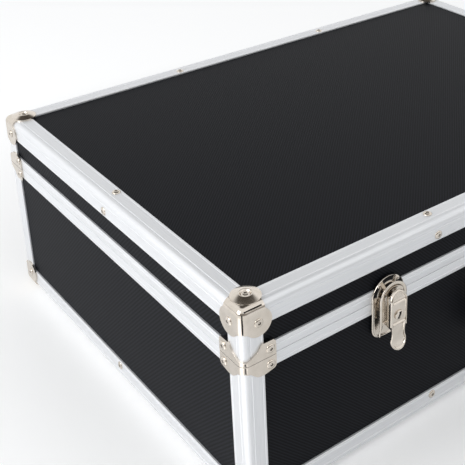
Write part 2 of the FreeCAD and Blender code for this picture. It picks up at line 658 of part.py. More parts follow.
def lever():
    """The lever: an arched channel with a waisted tongue that curls outwards."""
    reach = "lever_front - lever_wall_back"
    face = f"{FRONT} - lever_front"
    deep, start = "2 * lever_front", f"{FRONT} - 2 * lever_front"
    shoulder = f"{BAIL_Z} - pin_radius"
    tail = f"{PIN_Z} - lever_tail"
    round_z = f"{tail} + lever_tail_round"
    outline_form = fuse("lever_form",
                        disc("lever_arch", HALF, deep, (LATCH, start, PIN_Z), "y"),
                        box("lever_middle", (f"{LATCH} - {HALF}", start, shoulder),
                            ("lever_width", deep, f"{PIN_Z} - ({shoulder})")),
                        box("lever_tongue", (f"{LATCH} - lever_waist / 2", start, round_z),
                            ("lever_waist", deep, f"{shoulder} - ({round_z})")),
                        disc("lever_tail_disc", "lever_tail_round", deep, (LATCH, start, round_z), "y"))
    bend = f"{tail} + 0.8 * lever_tail_round"
    side_form = outline("lever_side", "yz", [
        (face, f"{PIN_Z} + lever_width"), (face, bend), (f"{face} - lever_curl", tail),
        (f"{face} - lever_curl + lever_sheet", tail), (f"{face} + lever_sheet", bend),
        (f"{face} + lever_sheet", f"{PIN_Z} + lever_width")])
    sheet_form = prism("lever_sheet_form", side_form, (1, 0, 0), "2 * lever_width")
    place(sheet_form, x=f"{LATCH} - lever_width")
    walls = []
    for index, side in enumerate((-1, 1)):
        wall_x = f"{LATCH} + {side} * ({HALF} - lever_sheet / 2) - lever_sheet / 2"
        wall = fuse(f"lever_wall_form_{index}",
                    box(f"lever_wall_flat_{index}", (wall_x, face, f"{BAIL_Z} - 3 * pin_radius"),
                        ("lever_sheet", reach, "bail_pivot_drop + 3 * pin_radius")),
                    disc(f"lever_wall_round_{index}", "lever_pivot_out - lever_wall_back", "lever_sheet",
                         (wall_x, PIN_Y, PIN_Z), "x"))
        room = box(f"lever_wall_room_{index}", (wall_x, face, "0"),
                   ("lever_sheet", reach, "2 * case_height"))
        walls.append(common(f"lever_wall_{index}", wall, room))
    whole = fuse("lever_whole", common("lever_face", outline_form, sheet_form), *walls)
    bore, across = "pin_radius + running_gap", f"{LATCH} - lever_width"
    holes = [
        rod("lever_lock_hole", "lock_radius + running_gap", deep, (LATCH, start, LOCK_Z), "y"),
        rod("lever_pin_hole", bore, "2 * lever_width", (across, PIN_Y, PIN_Z), "x"),
        rod("lever_bail_hole", bore, "2 * lever_width", (across, BAIL_Y, BAIL_Z), "x"),
    ]
    return cut("lever", whole, *holes)


def bail():
    """The bail: an arch of flat strip with pins turned inwards and two short tips."""
    start = f"{BAIL_Y} - bail_plate / 2"
    low = f"{BAIL_Z} - 2 * pin_radius"
    tip = f"{BAIL_Z} - bail_tip"
    forms = []
    for radius, end in (("bail_outer", low), ("bail_inner", tip)):
        forms.append(fuse(f"{radius}_form",
                          disc(f"{radius}_arch", radius, "bail_plate", (LATCH, start, PIN_Z), "y"),
                          box(f"{radius}_legs", (f"{LATCH} - {radius}", start, end),
                              (f"2 * {radius}", "bail_plate", f"{PIN_Z} - ({end})"))))
    pieces = [cut("bail_strip", *forms)]
    stub = f"(bail_inner + 1.5 * lever_sheet - {HALF} + side_gap)"
    for index, side in enumerate((-1, 1)):
        tip_x = f"{LATCH} + {side} * (bail_outer - bail_plate / 2) - bail_plate / 2"
        pieces.append(box(f"bail_tip_{index}", (tip_x, start, tip),
                          ("bail_plate", "bail_plate", f"{low} - ({tip})")))
        stub_x = f"{LATCH} + {side} * (bail_inner + lever_sheet / 2 - {stub} / 2) - {stub} / 2"
        pieces.append(rod(f"bail_pin_{index}", "pin_radius", stub, (stub_x, BAIL_Y, BAIL_Z), "x"))
    return fuse("bail", *pieces)


def keeper():
    """The arched plate on the lid: three windows and the curved ledge that the bail pulls on."""
    face, side_x, radius = f"{FRONT} - plate", f"{LATCH} - latch_width / 2", "latch_width / 2"
    arch = common("keeper_arch", disc("keeper_disc", radius, "plate", (LATCH, face, PIN_Z), "y"),
                  box("keeper_arch_room", (side_x, face, PIN_Z), ("latch_width", "plate", radius)))
    foot = box("keeper_foot", (side_x, face, LID_LOW), ("latch_width", "plate", f"{PIN_Z} - {LID_LOW}"))
    pad = common("keeper_pad",
                 disc("keeper_pad_disc", f"{radius} - plate", "skin", (LATCH, FRONT, PIN_Z), "y"),
                 box("keeper_pad_room", (side_x, FRONT, f"{LID_LOW} + rim_band"),
                     ("latch_width", "skin", radius)))
    ledge_out = "bail_inner - ledge_gap"
    ledge_face = f"{BAIL_Y} - bail_plate / 2 - 2 * ledge_gap"
    ledge_deep = "bail_pivot_out + bail_plate / 2 + 2 * ledge_gap"
    ledge_low = (LATCH, ledge_face, PIN_Z)
    ring = cut("keeper_ring", disc("keeper_ring_out", ledge_out, ledge_deep, ledge_low, "y"),
               disc("keeper_ring_in", f"{ledge_out} - plate", ledge_deep, ledge_low, "y"))
    ledge_room = box("keeper_ledge_room", (side_x, ledge_face, f"{PIN_Z} + bail_inner / 2"),
                     ("latch_width", ledge_deep, radius))
    ledge = common("keeper_ledge", ring, ledge_room)
    windows = []
    for index, angle in enumerate((-WINDOW_TURN, 0, WINDOW_TURN)):
        window = box(f"keeper_window_{index}", ("-window_length / 2", "0", "bail_inner + plate"),
                     ("window_length", "3 * plate + skin", "window_width"))
        window = turn(group(f"keeper_window_turned_{index}", window), (0, 1, 0), angle)
        windows.append(place(window, LATCH, f"{face} - plate", PIN_Z))
    return cut("keeper", fuse("keeper_whole", arch, foot, pad, ledge), *windows)


def lock():
    """The lock cylinder with its keyway and the cam behind it."""
    face = f"{FRONT} - lever_front - lock_proud"
    plug_back = f"{FRONT} - cam_back - plate"
    plug = rod("lock_plug", "lock_radius", f"{plug_back} - ({face})", (LATCH, face, LOCK_Z), "y")
    cam = box("lock_cam", (f"{LATCH} - cam_half", plug_back, f"{LOCK_Z} - cam_reach"),
              ("2 * cam_half", "plate", "cam_reach + cam_half"))
    keyway = box("lock_keyway", (f"{LATCH} - keyway_width / 2", face, f"{LOCK_Z} - keyway_height / 2"),
                 ("keyway_width", "lever_sheet", "keyway_height"))
    return cut("lock", fuse("lock_whole", plug, cam), keyway)


node("latch_plates", *both_sides(latch_plate()))
node("latch_keepers", *both_sides(keeper()))
for label, piece in (("latch_lever", lever()), ("latch_bail", bail()), ("latch_lock", lock())):
    left, right = both_sides(piece)
    node(f"left_{label}", left)
    node(f"right_{label}", right)


# Hinges on the back: a leaf on each rim, three knuckles and a pin fast in the outer two
HINGE_Y = f"({BACK} + hinge_out)"
KNUCKLE = "(hinge_width / 3)"


def hinge_half(name, upper):
    """One leaf with its knuckles: the middle one on the lid, the outer two and the pin on the base."""
    start = "-hinge_place - hinge_width / 2"
    leaf_low = LID_LOW if upper else "parting_height - hinge_leaf"
    leaf_height = "(hinge_leaf - parting_gap / 2)"
    pad_low = f"{LID_LOW} + rim_band" if upper else "parting_height - hinge_leaf"
    mine, other = ([1], [0, 2]) if upper else ([0, 2], [1])
    pieces = [
        box(f"{name}_leaf", (start, BACK, leaf_low), ("hinge_width", "plate", leaf_height)),
        box(f"{name}_pad", (start, f"{BACK} - skin", pad_low),
            ("hinge_width", "skin", f"{leaf_height} - rim_band")),
    ]
    for index in mine:
        knuckle_low = (f"{start} + {index} * {KNUCKLE} + side_gap / 2", HINGE_Y, "parting_height")
        pieces.append(disc(f"{name}_knuckle_{index}", "hinge_barrel", f"{KNUCKLE} - side_gap",
                           knuckle_low, "x"))
    notches = [
        box(f"{name}_notch_{index}",
            (f"{start} + {index} * {KNUCKLE} - side_gap", BACK, "parting_height - hinge_out"),
            (f"{KNUCKLE} + 2 * side_gap", "2 * hinge_out + hinge_barrel", "2 * hinge_out"))
        for index in other
    ]
    leaf = cut(f"{name}_leaf_form", fuse(f"{name}_whole", *pieces), *notches)
    run = (f"2 * {KNUCKLE}", (f"{start} + {KNUCKLE} / 2", HINGE_Y, "parting_height"), "x")
    if upper:
        return cut(name, leaf, rod(f"{name}_bore", "hinge_pin + running_gap", *run))
    return fuse(name, leaf, rod("hinge_pin_rod", "hinge_pin", *run))


node("base_hinge_leaves", *both_sides(hinge_half("base_leaf", False)))
node("lid_hinge_leaves", *both_sides(hinge_half("lid_leaf", True)))


# Carrying handle on the front, between the latches
GRIP_Y = f"({FRONT} - handle_out)"
GRIP_Z = "(handle_height - handle_drop)"


def handle_bracket():
    """A bracket on the front panel: a plate, two lugs and the pin riveted into them."""
    centre = "-handle_span / 2"
    back = f"{FRONT} + skin"
    lug = "handle_arm / 2 + side_gap"
    length = "handle_arm + 2 * (side_gap + handle_lug)"
    plate_low = (f"{centre} - handle_plate_half", f"{back} - handle_lug",
                 "handle_height - handle_plate_rise")
    pin_low = (f"{centre} - ({length}) / 2", GRIP_Y, "handle_height")
    pieces = [
        box("handle_bracket_plate", plate_low,
            ("2 * handle_plate_half", "handle_lug", "2 * handle_plate_rise")),
        rod("handle_pin_rod", "handle_pin", length, pin_low, "x"),
    ]
    for index, side in enumerate((-1, 1)):
        lug_x = f"{centre} + {side} * ({lug} + handle_lug / 2) - handle_lug / 2"
        web = outline(f"handle_lug_outline_{index}", "yz", [
            (f"{back} - handle_lug / 2", "handle_height - 1.6 * handle_eye"),
            (f"{back} - handle_lug / 2", "handle_height + 1.6 * handle_eye"),
            (f"{GRIP_Y} + 0.2 * handle_eye", "handle_height + 0.88 * handle_eye"),
            (f"{GRIP_Y} - 0.2 * handle_eye", "handle_height + 0.88 * handle_eye"),
            (f"{GRIP_Y} - 0.88 * handle_eye", "handle_height + 0.2 * handle_eye"),
            (f"{GRIP_Y} - 0.88 * handle_eye", "handle_height - 0.2 * handle_eye"),
            (f"{GRIP_Y} - 0.2 * handle_eye", "handle_height - 0.88 * handle_eye"),
            (f"{GRIP_Y} + 0.2 * handle_eye", "handle_height - 0.88 * handle_eye")])
        pieces.append(place(prism(f"handle_lug_{index}", web, (1, 0, 0), "handle_lug"), x=lug_x))
    return fuse("handle_bracket", *pieces)


def handle():
    """The moulded handle: an eye and an arm at each end of a round grip."""
    grip_run = ("handle_span + handle_arm", ("-(handle_span + handle_arm) / 2", GRIP_Y, GRIP_Z), "x")
    pieces = [disc("handle_round", "handle_grip", *grip_run)]
    for index, side in enumerate((-1, 1)):
        arm_x = f"{side} * handle_span / 2 - handle_arm / 2"
        pieces.append(disc(f"handle_eye_{index}", "handle_eye", "handle_arm",
                           (arm_x, GRIP_Y, "handle_height"), "x", sides=16))
        pieces.append(box(f"handle_arm_{index}", (arm_x, f"{GRIP_Y} - handle_eye", GRIP_Z),
                          ("handle_arm", "2 * handle_eye", "handle_drop")))
    hole = rod("handle_pin_hole", "handle_pin + running_gap", "2 * handle_span",
               ("-handle_span", GRIP_Y, "handle_height"), "x")
    return cut("handle_body", fuse("handle_whole", *pieces), hole)


node("handle_brackets", *both_sides(handle_bracket()))
node("handle", handle())


# Recompute, check every object, and write one file for each sub-part
doc.recompute()
for item in doc.Objects:
    if "Invalid" in item.State or "Error" in item.State:
        raise RuntimeError(f"{item.Name} is {item.State}")
os.makedirs("parts", exist_ok=True)
for item in nodes:
    if item.Shape.isNull() or not item.Shape.isValid() or not item.Shape.Solids:
        raise RuntimeError(f"{item.Label} has no valid shape")
    item.Shape.exportStep(f"parts/{item.Label}.step")
    print(f"{item.Label}: {len(item.Shape.Solids)} solids, {item.Shape.Volume:.0f} mm3")
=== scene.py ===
"""Looks of a flight case for compact discs: black ribbed panels, anodised profiles, nickel-plated fittings.

Every shape is worked out in millimetres in the row frame (X along the front, Y to the back, Z up) and
turned to metres when it becomes a mesh.
"""

import logging
import math
from dataclasses import dataclass, field
from enum import Enum
from typing import Callable, Iterable, Sequence

import bmesh
import bpy
import numpy as np
from mathutils import Euler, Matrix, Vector


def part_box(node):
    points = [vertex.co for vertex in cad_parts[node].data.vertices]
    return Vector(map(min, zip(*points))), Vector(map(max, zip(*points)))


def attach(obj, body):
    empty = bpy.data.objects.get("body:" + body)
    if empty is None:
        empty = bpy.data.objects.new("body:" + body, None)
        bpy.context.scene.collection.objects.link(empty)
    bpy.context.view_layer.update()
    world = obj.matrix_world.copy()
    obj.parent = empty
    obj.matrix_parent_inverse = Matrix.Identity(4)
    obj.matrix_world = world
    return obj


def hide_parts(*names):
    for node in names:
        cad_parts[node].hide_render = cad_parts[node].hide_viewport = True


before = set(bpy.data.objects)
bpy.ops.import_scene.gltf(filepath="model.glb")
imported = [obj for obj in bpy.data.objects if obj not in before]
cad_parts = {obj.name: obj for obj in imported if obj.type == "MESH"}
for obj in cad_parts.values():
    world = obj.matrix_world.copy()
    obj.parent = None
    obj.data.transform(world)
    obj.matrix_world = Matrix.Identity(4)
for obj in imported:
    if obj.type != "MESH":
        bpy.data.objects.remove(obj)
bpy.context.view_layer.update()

log = logging.getLogger("flight_case")

MM = 0.001
LEFT, RIGHT = -247.5, 247.5
FRONT, BACK = -170.65, 183.35
FLOOR, TOP = 3.0, 165.0
BASE_TOP, LID_LOW = 123.85, 124.15
PARTING = 124.0
SKIN, PLY, LINING = 1.5, 5.0, 1.7
SHEET = 1.2
EDGE = 4.5


class Body(Enum):
    """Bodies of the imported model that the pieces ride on."""

    BASE = "base"
    LID = "lid"
    LEFT_LEVER = "left_lever"
    LEFT_BAIL = "left_bail"
    LEFT_LOCK = "left_lock"
    RIGHT_LEVER = "right_lever"
    RIGHT_BAIL = "right_bail"
    RIGHT_LOCK = "right_lock"
    HANDLE = "handle"


class Axis(Enum):
    """The three directions of the row frame, by their column."""

    X = 0
    Y = 1
    Z = 2


# Shapes as points and faces


@dataclass
class Skin:
    """A surface while it is put together: points in mm, faces by index, and a mark for each point.

    The mark is 1 where the surface stands for an open gap between two sheets, a slit or a hole, which the finish paints
    dark as painted shade, and 0 elsewhere.
    """

    points: np.ndarray
    faces: list[np.ndarray]
    marks: np.ndarray

    def moved(self, x: float = 0.0, y: float = 0.0, z: float = 0.0) -> "Skin":
        """The same surface somewhere else."""
        return Skin(self.points + np.array([x, y, z]), self.faces, self.marks)

    def mirrored(self, axis: Axis, about: float = 0.0) -> "Skin":
        """The mirror image across a plane, with its faces turned to point outwards again."""
        points = self.points.copy()
        points[:, axis.value] = 2 * about - points[:, axis.value]
        return Skin(points, [faces[:, ::-1] for faces in self.faces], self.marks)

    def swapped(self, order: tuple[int, int, int]) -> "Skin":
        """The same surface with its coordinates in another order."""
        return Skin(self.points[:, list(order)], self.faces, self.marks)


def joined(skins: Iterable[Skin]) -> Skin:
    """Several surfaces as one.

    Args:
        skins: The surfaces, each with its own points.

    Returns:
        One surface whose faces point to the right part of the joined points.
    """
    parts = list(skins)
    starts = np.cumsum([0] + [len(part.points) for part in parts[:-1]])
    faces = [array + start for part, start in zip(parts, starts) for array in part.faces]
    return Skin(np.concatenate([p.points for p in parts]), faces, np.concatenate([p.marks for p in parts]))


def grid_faces(rows: int, columns: int, wrap: bool = False) -> np.ndarray:
    """Four-sided faces of a grid of points stored row after row.

    Args:
        rows: Number of rows.
        columns: Number of points in a row.
        wrap: Whether the last point of a row is joined to its first.

    Returns:
        An array of four indices for each face.
    """
    i, j = np.meshgrid(np.arange(rows - 1), np.arange(columns if wrap else columns - 1), indexing="ij")
    i, j = i.ravel(), j.ravel()
    following = (j + 1) % columns
    return np.stack([i * columns + j, i * columns + following,
                     (i + 1) * columns + following, (i + 1) * columns + j], axis=1)


def carried(section: np.ndarray, start: np.ndarray, stop: np.ndarray, axis: Axis) -> Skin:
    """A closed section carried straight along an axis, each of its points from its own start to its stop.

    Point (i, j) = section point j across the axis and start_j or stop_j along it, so a mitre is a start
    that grows with the distance from the outer side.

    Args:
        section: Points across the axis, in the order of the two other coordinates.
        start: Start of each point along the axis.
        stop: Stop of each point along the axis.
        axis: Direction of the run.

    Returns:
        The closed bar.
    """
    count = len(section)
    ends = np.stack([np.broadcast_to(start, count), np.broadcast_to(stop, count)])
    across = np.broadcast_to(section, (2, count, 2)).reshape(-1, 2)
    points = np.insert(across, axis.value, ends.ravel(), axis=1)
    caps = [np.arange(count)[None, ::-1], np.arange(count, 2 * count)[None, :]]
    return Skin(points, [grid_faces(2, count, wrap=True), *caps], np.zeros(2 * count))


def lathed(profile: Sequence[tuple[float, float]], sides: int = 24, mark_within: float = -1.0) -> Skin:
    """A profile of (radius, height) carried round the Z axis.

    Point (i, j) = (r_j cos a_i, r_j sin a_i, h_j) with a_i in equal steps. Points at radius 0 close the
    form and are merged later.

    Args:
        profile: Radius and height in mm, from one end to the other.
        sides: Number of steps round the axis.
        mark_within: Points nearer to the axis than this are marked as a gap.

    Returns:
        The round form about the origin.
    """
    radius, height = np.array(profile, float).T
    angle = np.arange(sides) * 2 * math.pi / sides
    ring = np.stack([np.outer(radius, np.cos(angle)), np.outer(radius, np.sin(angle)),
                     np.repeat(height[:, None], sides, 1)], axis=-1)
    marks = np.repeat((radius < mark_within).astype(float), sides)
    return Skin(ring.reshape(-1, 3), [grid_faces(len(radius), sides, wrap=True)], marks)


def slab(outline: np.ndarray, low: float, high: float, axis: Axis) -> Skin:
    """A flat outline given a thickness along an axis.

    Args:
        outline: Closed outline in the order of the two other coordinates.
        low: Lower end along the axis.
        high: Upper end along the axis.
        axis: Direction of the thickness.

    Returns:
        The closed plate.
    """
    return carried(outline, np.array(low), np.array(high), axis)


def sheet(outer: np.ndarray, inner: np.ndarray, marks: np.ndarray | None = None,
          rims: tuple[bool, bool, bool, bool] = (True, True, True, True)) -> Skin:
    """A piece of sheet metal from the grids of its two sides, closed along the chosen edges.

    Args:
        outer: Grid of points of the visible side, rows by columns by 3.
        inner: Grid of the same size for the other side.
        marks: Gap mark of each point of the visible side.
        rims: Whether the first row, last row, first column and last column get a narrow edge face.

    Returns:
        The sheet, closed where its rims are wanted.
    """
    rows, columns = outer.shape[:2]
    count = rows * columns
    index = np.arange(count).reshape(rows, columns)
    sides = [index[0], index[-1][::-1], index[:, 0][::-1], index[:, -1]]
    flat = grid_faces(rows, columns)
    faces = [flat, flat[:, ::-1] + count]
    for wanted, line in zip(rims, sides):
        if wanted:
            faces.append(np.stack([line[1:], line[:-1], line[:-1] + count, line[1:] + count], axis=1))
    points = np.concatenate([outer.reshape(-1, 3), inner.reshape(-1, 3)])
    shown = np.zeros(count) if marks is None else marks.ravel()
    return Skin(points, faces, np.concatenate([shown, shown]))


def swept(path: np.ndarray, section: np.ndarray, side: np.ndarray, scale: np.ndarray) -> Skin:
    """A closed section carried along a bent path that lies in the XZ plane.

    Point (i, j) = path_i + scale_i (section_j,0 n_i + section_j,1 s), with n_i the normal of the path in
    its plane and s the direction across that plane.

    Args:
        path: Points of the path, n by 3.
        section: Closed section, k by 2.
        side: Unit vector across the plane of the path.
        scale: Size of the section at each point of the path, n by 2.

    Returns:
        The closed form, its ends shut.
    """
    along = np.gradient(path, axis=0)
    along /= np.linalg.norm(along, axis=1, keepdims=True)
    normal = np.cross(side, along)
    offset = (section[None, :, 0, None] * scale[:, None, 0, None] * normal[:, None, :]
              + section[None, :, 1, None] * scale[:, None, 1, None] * side)
    count, width = len(path), len(section)
    points = (path[:, None, :] + offset).reshape(-1, 3)
    caps = [np.arange(width)[None, ::-1], np.arange((count - 1) * width, count * width)[None, :]]
    return Skin(points, [grid_faces(count, width, wrap=True), *caps], np.zeros(len(points)))


def oval(half_width: float, half_height: float, power: float = 2.0, sides: int = 20) -> np.ndarray:
    """A rounded section: x = a sgn(cos) |cos|^(2/p), y = b sgn(sin) |sin|^(2/p).

    Args:
        half_width: Half of the width, a.
        half_height: Half of the height, b.
        power: 2 for an ellipse, larger for a squarer form.
        sides: Number of points.

    Returns:
        The closed outline, sides by 2.
    """
    angle = np.arange(sides) * 2 * math.pi / sides
    wave = np.stack([np.cos(angle), np.sin(angle)], axis=1)
    return np.sign(wave) * np.abs(wave) ** (2 / power) * np.array([half_width, half_height])


def arc(centre: tuple[float, float], radius: float, begin: float, end: float, steps: int = 12) -> np.ndarray:
    """Points of an arc, from one angle to another in degrees."""
    angle = np.radians(np.linspace(begin, end, steps))
    return np.stack([centre[0] + radius * np.cos(angle), centre[1] + radius * np.sin(angle)], axis=1)


def rounded_box(low: Sequence[float], high: Sequence[float], radius: float) -> np.ndarray:
    """Outline of a rectangle with rounded corners, anticlockwise."""
    (x0, y0), (x1, y1) = low, high
    return np.concatenate([arc((x1 - radius, y0 + radius), radius, -90, 0, 6),
                           arc((x1 - radius, y1 - radius), radius, 0, 90, 6),
                           arc((x0 + radius, y1 - radius), radius, 90, 180, 6),
                           arc((x0 + radius, y0 + radius), radius, 180, 270, 6)])


# Finishes


def linear(code: str) -> tuple[float, float, float, float]:
    """An sRGB hex colour as linear light.

    Args:
        code: Six hex digits.

    Returns:
        Red, green, blue and an alpha of 1.
    """
    value = np.array([int(code[k:k + 2], 16) for k in (0, 2, 4)]) / 255
    light = np.where(value <= 0.04045, value / 12.92, ((value + 0.055) / 1.055) ** 2.4)
    return (*map(float, light), 1.0)


def node(tree: bpy.types.NodeTree, kind: str, links: dict | None = None, **settings) -> bpy.types.Node:
    """Add one shader node.

    Args:
        tree: Tree that the node goes into.
        kind: Name of the node's class.
        links: For each input, by name or index, a value or another node's output.
        settings: Attributes of the node itself.

    Returns:
        The new node.
    """
    item = tree.nodes.new(kind)
    for name, value in settings.items():
        setattr(item, name, value)
    for name, value in (links or {}).items():
        if isinstance(value, bpy.types.NodeSocket):
            tree.links.new(value, item.inputs[name])
        else:
            item.inputs[name].default_value = value
    return item


def ramp(tree: bpy.types.NodeTree, factor: bpy.types.NodeSocket, stops: Sequence[tuple[float, str]]):
    """A colour ramp through hex colours.

    Args:
        tree: Tree that the ramp goes into.
        factor: What drives it.
        stops: Position and hex colour of each stop.

    Returns:
        The ramp's colour output.
    """
    item = node(tree, "ShaderNodeValToRGB", {"Fac": factor})
    elements = item.color_ramp.elements
    for element, (position, code) in zip(elements, stops):
        element.position, element.color = position, linear(code)
    for position, code in stops[2:]:
        elements.new(position).color = linear(code)
    return item.outputs["Color"]


def blank(name: str) -> tuple[bpy.types.Material, bpy.types.NodeTree, bpy.types.Node]:
    """A new material with a principled shader and nothing else.

    Args:
        name: Name of the material.

    Returns:
        The material, its tree and its shader.
    """
    material = bpy.data.materials.new(name)
    material.use_nodes = True
    tree = material.node_tree
    return material, tree, tree.nodes["Principled BSDF"]


class Grain(Enum):
    """Directions that a pattern can follow on the object."""

    X = (0.02, 1.0, 1.0)
    Y = (1.0, 0.02, 1.0)
    Z = (1.0, 1.0, 0.02)


@dataclass(frozen=True)
class AnodisedAluminium:
    """Extruded aluminium, satin anodised: pale, broad soft highlights, hair-fine lines along the extrusion."""

    colour: str = "edeef0"
    roughness: float = 0.45
    line_mm: float = 0.5
    line_depth_mm: float = 0.004

    def material(self, grain: Grain) -> bpy.types.Material:
        """Build the finish.

        Args:
            grain: Direction of the extrusion.

        Returns:
            The material.
        """
        material, tree, shader = blank(f"anodised_aluminium_{grain.name.lower()}")
        place = node(tree, "ShaderNodeTexCoord").outputs["Object"]
        drawn = node(tree, "ShaderNodeMapping", {"Vector": place, "Scale": grain.value}).outputs["Vector"]
        # die lines, half a millimetre apart so that they still show as a faint brushing
        lines = node(tree, "ShaderNodeTexNoise", {"Vector": drawn, "Scale": 1 / (self.line_mm * MM),
                                                  "Detail": 3.0, "Roughness": 0.6}).outputs["Fac"]
        # the anodic layer's own faint clouds, a hand's width across
        clouds = node(tree, "ShaderNodeTexNoise", {"Vector": place, "Scale": 14.0, "Detail": 2.0}).outputs["Fac"]
        tint = ramp(tree, lines, [(0.3, "e2e4e7"), (0.7, self.colour)])
        tree.links.new(tint, shader.inputs["Base Color"])
        shader.inputs["Metallic"].default_value = 0.6
        rough = node(tree, "ShaderNodeMapRange", {"Value": clouds, "To Min": self.roughness - 0.03,
                                                  "To Max": self.roughness + 0.03}).outputs["Result"]
        tree.links.new(rough, shader.inputs["Roughness"])
        bump = node(tree, "ShaderNodeBump", {"Height": lines, "Strength": 0.25,
                                             "Distance": self.line_depth_mm * MM}).outputs["Normal"]
        tree.links.new(bump, shader.inputs["Normal"])
        return material


@dataclass(frozen=True)
class NickelPlate:
    """Stamped steel, bright nickel plated: warm mirror, softened by the fine waves of the rolled sheet."""

    name: str = "nickel_plated_steel"
    colour: str = "d3cbc1"
    roughness: float = 0.14
    wave_mm: float = 7.0
    wave_depth_mm: float = 0.05

    def material(self) -> bpy.types.Material:
        """Build the finish; points marked as a gap are painted near black and dull, as painted shade for the dark space
        between two sheets.
        """
        material, tree, shader = blank(self.name)
        place = node(tree, "ShaderNodeTexCoord").outputs["Object"]
        mark = node(tree, "ShaderNodeAttribute", attribute_name="gap").outputs["Fac"]
        waves = node(tree, "ShaderNodeTexNoise", {"Vector": place, "Scale": 1 / (self.wave_mm * MM),
                                                  "Detail": 1.5}).outputs["Fac"]
        # handling haze: fine specks that only roughen the mirror
        haze = node(tree, "ShaderNodeTexNoise", {"Vector": place, "Scale": 900.0, "Detail": 3.0}).outputs["Fac"]
        metal = ramp(tree, waves, [(0.35, "cbc3b8"), (0.65, self.colour)])
        # painted shade: marked points take the near black 0a090a, lose their metal and go fully rough, for the shade
        # inside slits, windows, holes and the keyway
        tint = node(tree, "ShaderNodeMix", {0: mark, 6: metal, 7: linear("0a090a")}, data_type="RGBA")
        tree.links.new(tint.outputs[2], shader.inputs["Base Color"])
        solid = node(tree, "ShaderNodeMath", {0: 1.0, 1: mark}, operation="SUBTRACT").outputs[0]
        tree.links.new(solid, shader.inputs["Metallic"])
        rough = node(tree, "ShaderNodeMapRange", {"Value": haze, "From Min": 0.3, "From Max": 0.7,
                                                  "To Min": self.roughness - 0.03,
                                                  "To Max": self.roughness + 0.05}).outputs["Result"]
        veiled = node(tree, "ShaderNodeMath", {0: rough, 1: mark}, operation="MAXIMUM").outputs[0]
        tree.links.new(veiled, shader.inputs["Roughness"])
        bump = node(tree, "ShaderNodeBump", {"Height": waves, "Strength": 0.3,
                                             "Distance": self.wave_depth_mm * MM}).outputs["Normal"]
        tree.links.new(bump, shader.inputs["Normal"])
        return material


@dataclass(frozen=True)
class RibbedLaminate:
    """Black embossed laminate on plywood: satin, with fine slanting ribs that catch light on one flank, and painted
    shade that darkens the valleys between them.
    """

    pitch_mm: float = 2.4
    rib_depth_mm: float = 0.12
    lit_crest: str = "191b21"
    shaded_valley: str = "06070a"

    def material(self, name: str, across: tuple[float, float, float]) -> bpy.types.Material:
        """Build the finish for panels that face one way.

        Height = sin(2 pi (p . g) / pitch), p the point and g the direction across the ribs.

        Args:
            name: Name of the material.
            across: Direction across the ribs.

        Returns:
            The material.
        """
        material, tree, shader = blank(name)
        place = node(tree, "ShaderNodeTexCoord").outputs["Object"]
        turns = Vector(across).normalized() * (2 * math.pi / (self.pitch_mm * MM))
        phase = node(tree, "ShaderNodeVectorMath", {0: place, 1: turns}, operation="DOT_PRODUCT").outputs["Value"]
        wave = node(tree, "ShaderNodeMath", {0: phase}, operation="SINE").outputs[0]
        rib = node(tree, "ShaderNodeMapRange", {"Value": wave, "From Min": -1.0}).outputs["Result"]
        # leather-like emboss between the ribs, about half a millimetre
        emboss = node(tree, "ShaderNodeTexNoise", {"Vector": place, "Scale": 1400.0, "Detail": 2.0}).outputs["Fac"]
        height = node(tree, "ShaderNodeMath", {0: emboss, 1: 0.35, 2: rib}, operation="MULTIPLY_ADD").outputs[0]
        # painted shade: the ribs' valleys take the darker colour and their crests the lighter one, as shade and light
        # on the ribs
        tree.links.new(ramp(tree, rib, [(0.1, self.shaded_valley), (0.95, self.lit_crest)]), shader.inputs["Base Color"])
        shader.inputs["Roughness"].default_value = 0.55
        shader.inputs["IOR"].default_value = 1.5
        shader.inputs["Specular IOR Level"].default_value = 0.08
        bump = node(tree, "ShaderNodeBump", {"Height": height, "Strength": 0.7,
                                             "Distance": self.rib_depth_mm * MM}).outputs["Normal"]
        tree.links.new(bump, shader.inputs["Normal"])
        return material


@dataclass(frozen=True)
class BlackFelt:
    """Needled felt on board or foam: matt, with a faint bloom of loose fibres at a low angle."""

    name: str
    colour: str = "1b1b1d"
    fibre_mm: float = 0.8
    sheen: float = 0.35

    def material(self) -> bpy.types.Material:
        """Build the finish from clumps of fibres, drawn a little coarse so that they show."""
        material, tree, shader = blank(self.name)
        place = node(tree, "ShaderNodeTexCoord").outputs["Object"]
        clumps = node(tree, "ShaderNodeTexNoise", {"Vector": place, "Scale": 1 / (self.fibre_mm * MM),
                                                   "Detail": 5.0, "Roughness": 0.7}).outputs["Fac"]
        tree.links.new(ramp(tree, clumps, [(0.3, "0e0e10"), (0.75, self.colour)]), shader.inputs["Base Color"])
        shader.inputs["Roughness"].default_value = 0.95
        shader.inputs["Sheen Weight"].default_value = self.sheen
        bump = node(tree, "ShaderNodeBump", {"Height": clumps, "Strength": 0.6,
                                             "Distance": 0.3 * MM}).outputs["Normal"]
        tree.links.new(bump, shader.inputs["Normal"])
        return material


@dataclass(frozen=True)
class MouldedPlastic:
    """Black moulded ABS: spark-eroded grain, dull highlights."""

    colour: str = "17171a"
    grain_mm: float = 0.6

    def material(self) -> bpy.types.Material:
        """Build the finish from an even pitted grain."""
        material, tree, shader = blank("moulded_abs")
        place = node(tree, "ShaderNodeTexCoord").outputs["Object"]
        pits = node(tree, "ShaderNodeTexVoronoi", {"Vector": place,
                                                   "Scale": 1 / (self.grain_mm * MM)}).outputs["Distance"]
        tree.links.new(ramp(tree, pits, [(0.0, "101012"), (0.8, self.colour)]), shader.inputs["Base Color"])
        shader.inputs["Roughness"].default_value = 0.42
        shader.inputs["IOR"].default_value = 1.54
        bump = node(tree, "ShaderNodeBump", {"Height": pits, "Strength": 0.35,
                                             "Distance": 0.08 * MM}).outputs["Normal"]
        tree.links.new(bump, shader.inputs["Normal"])
        return material


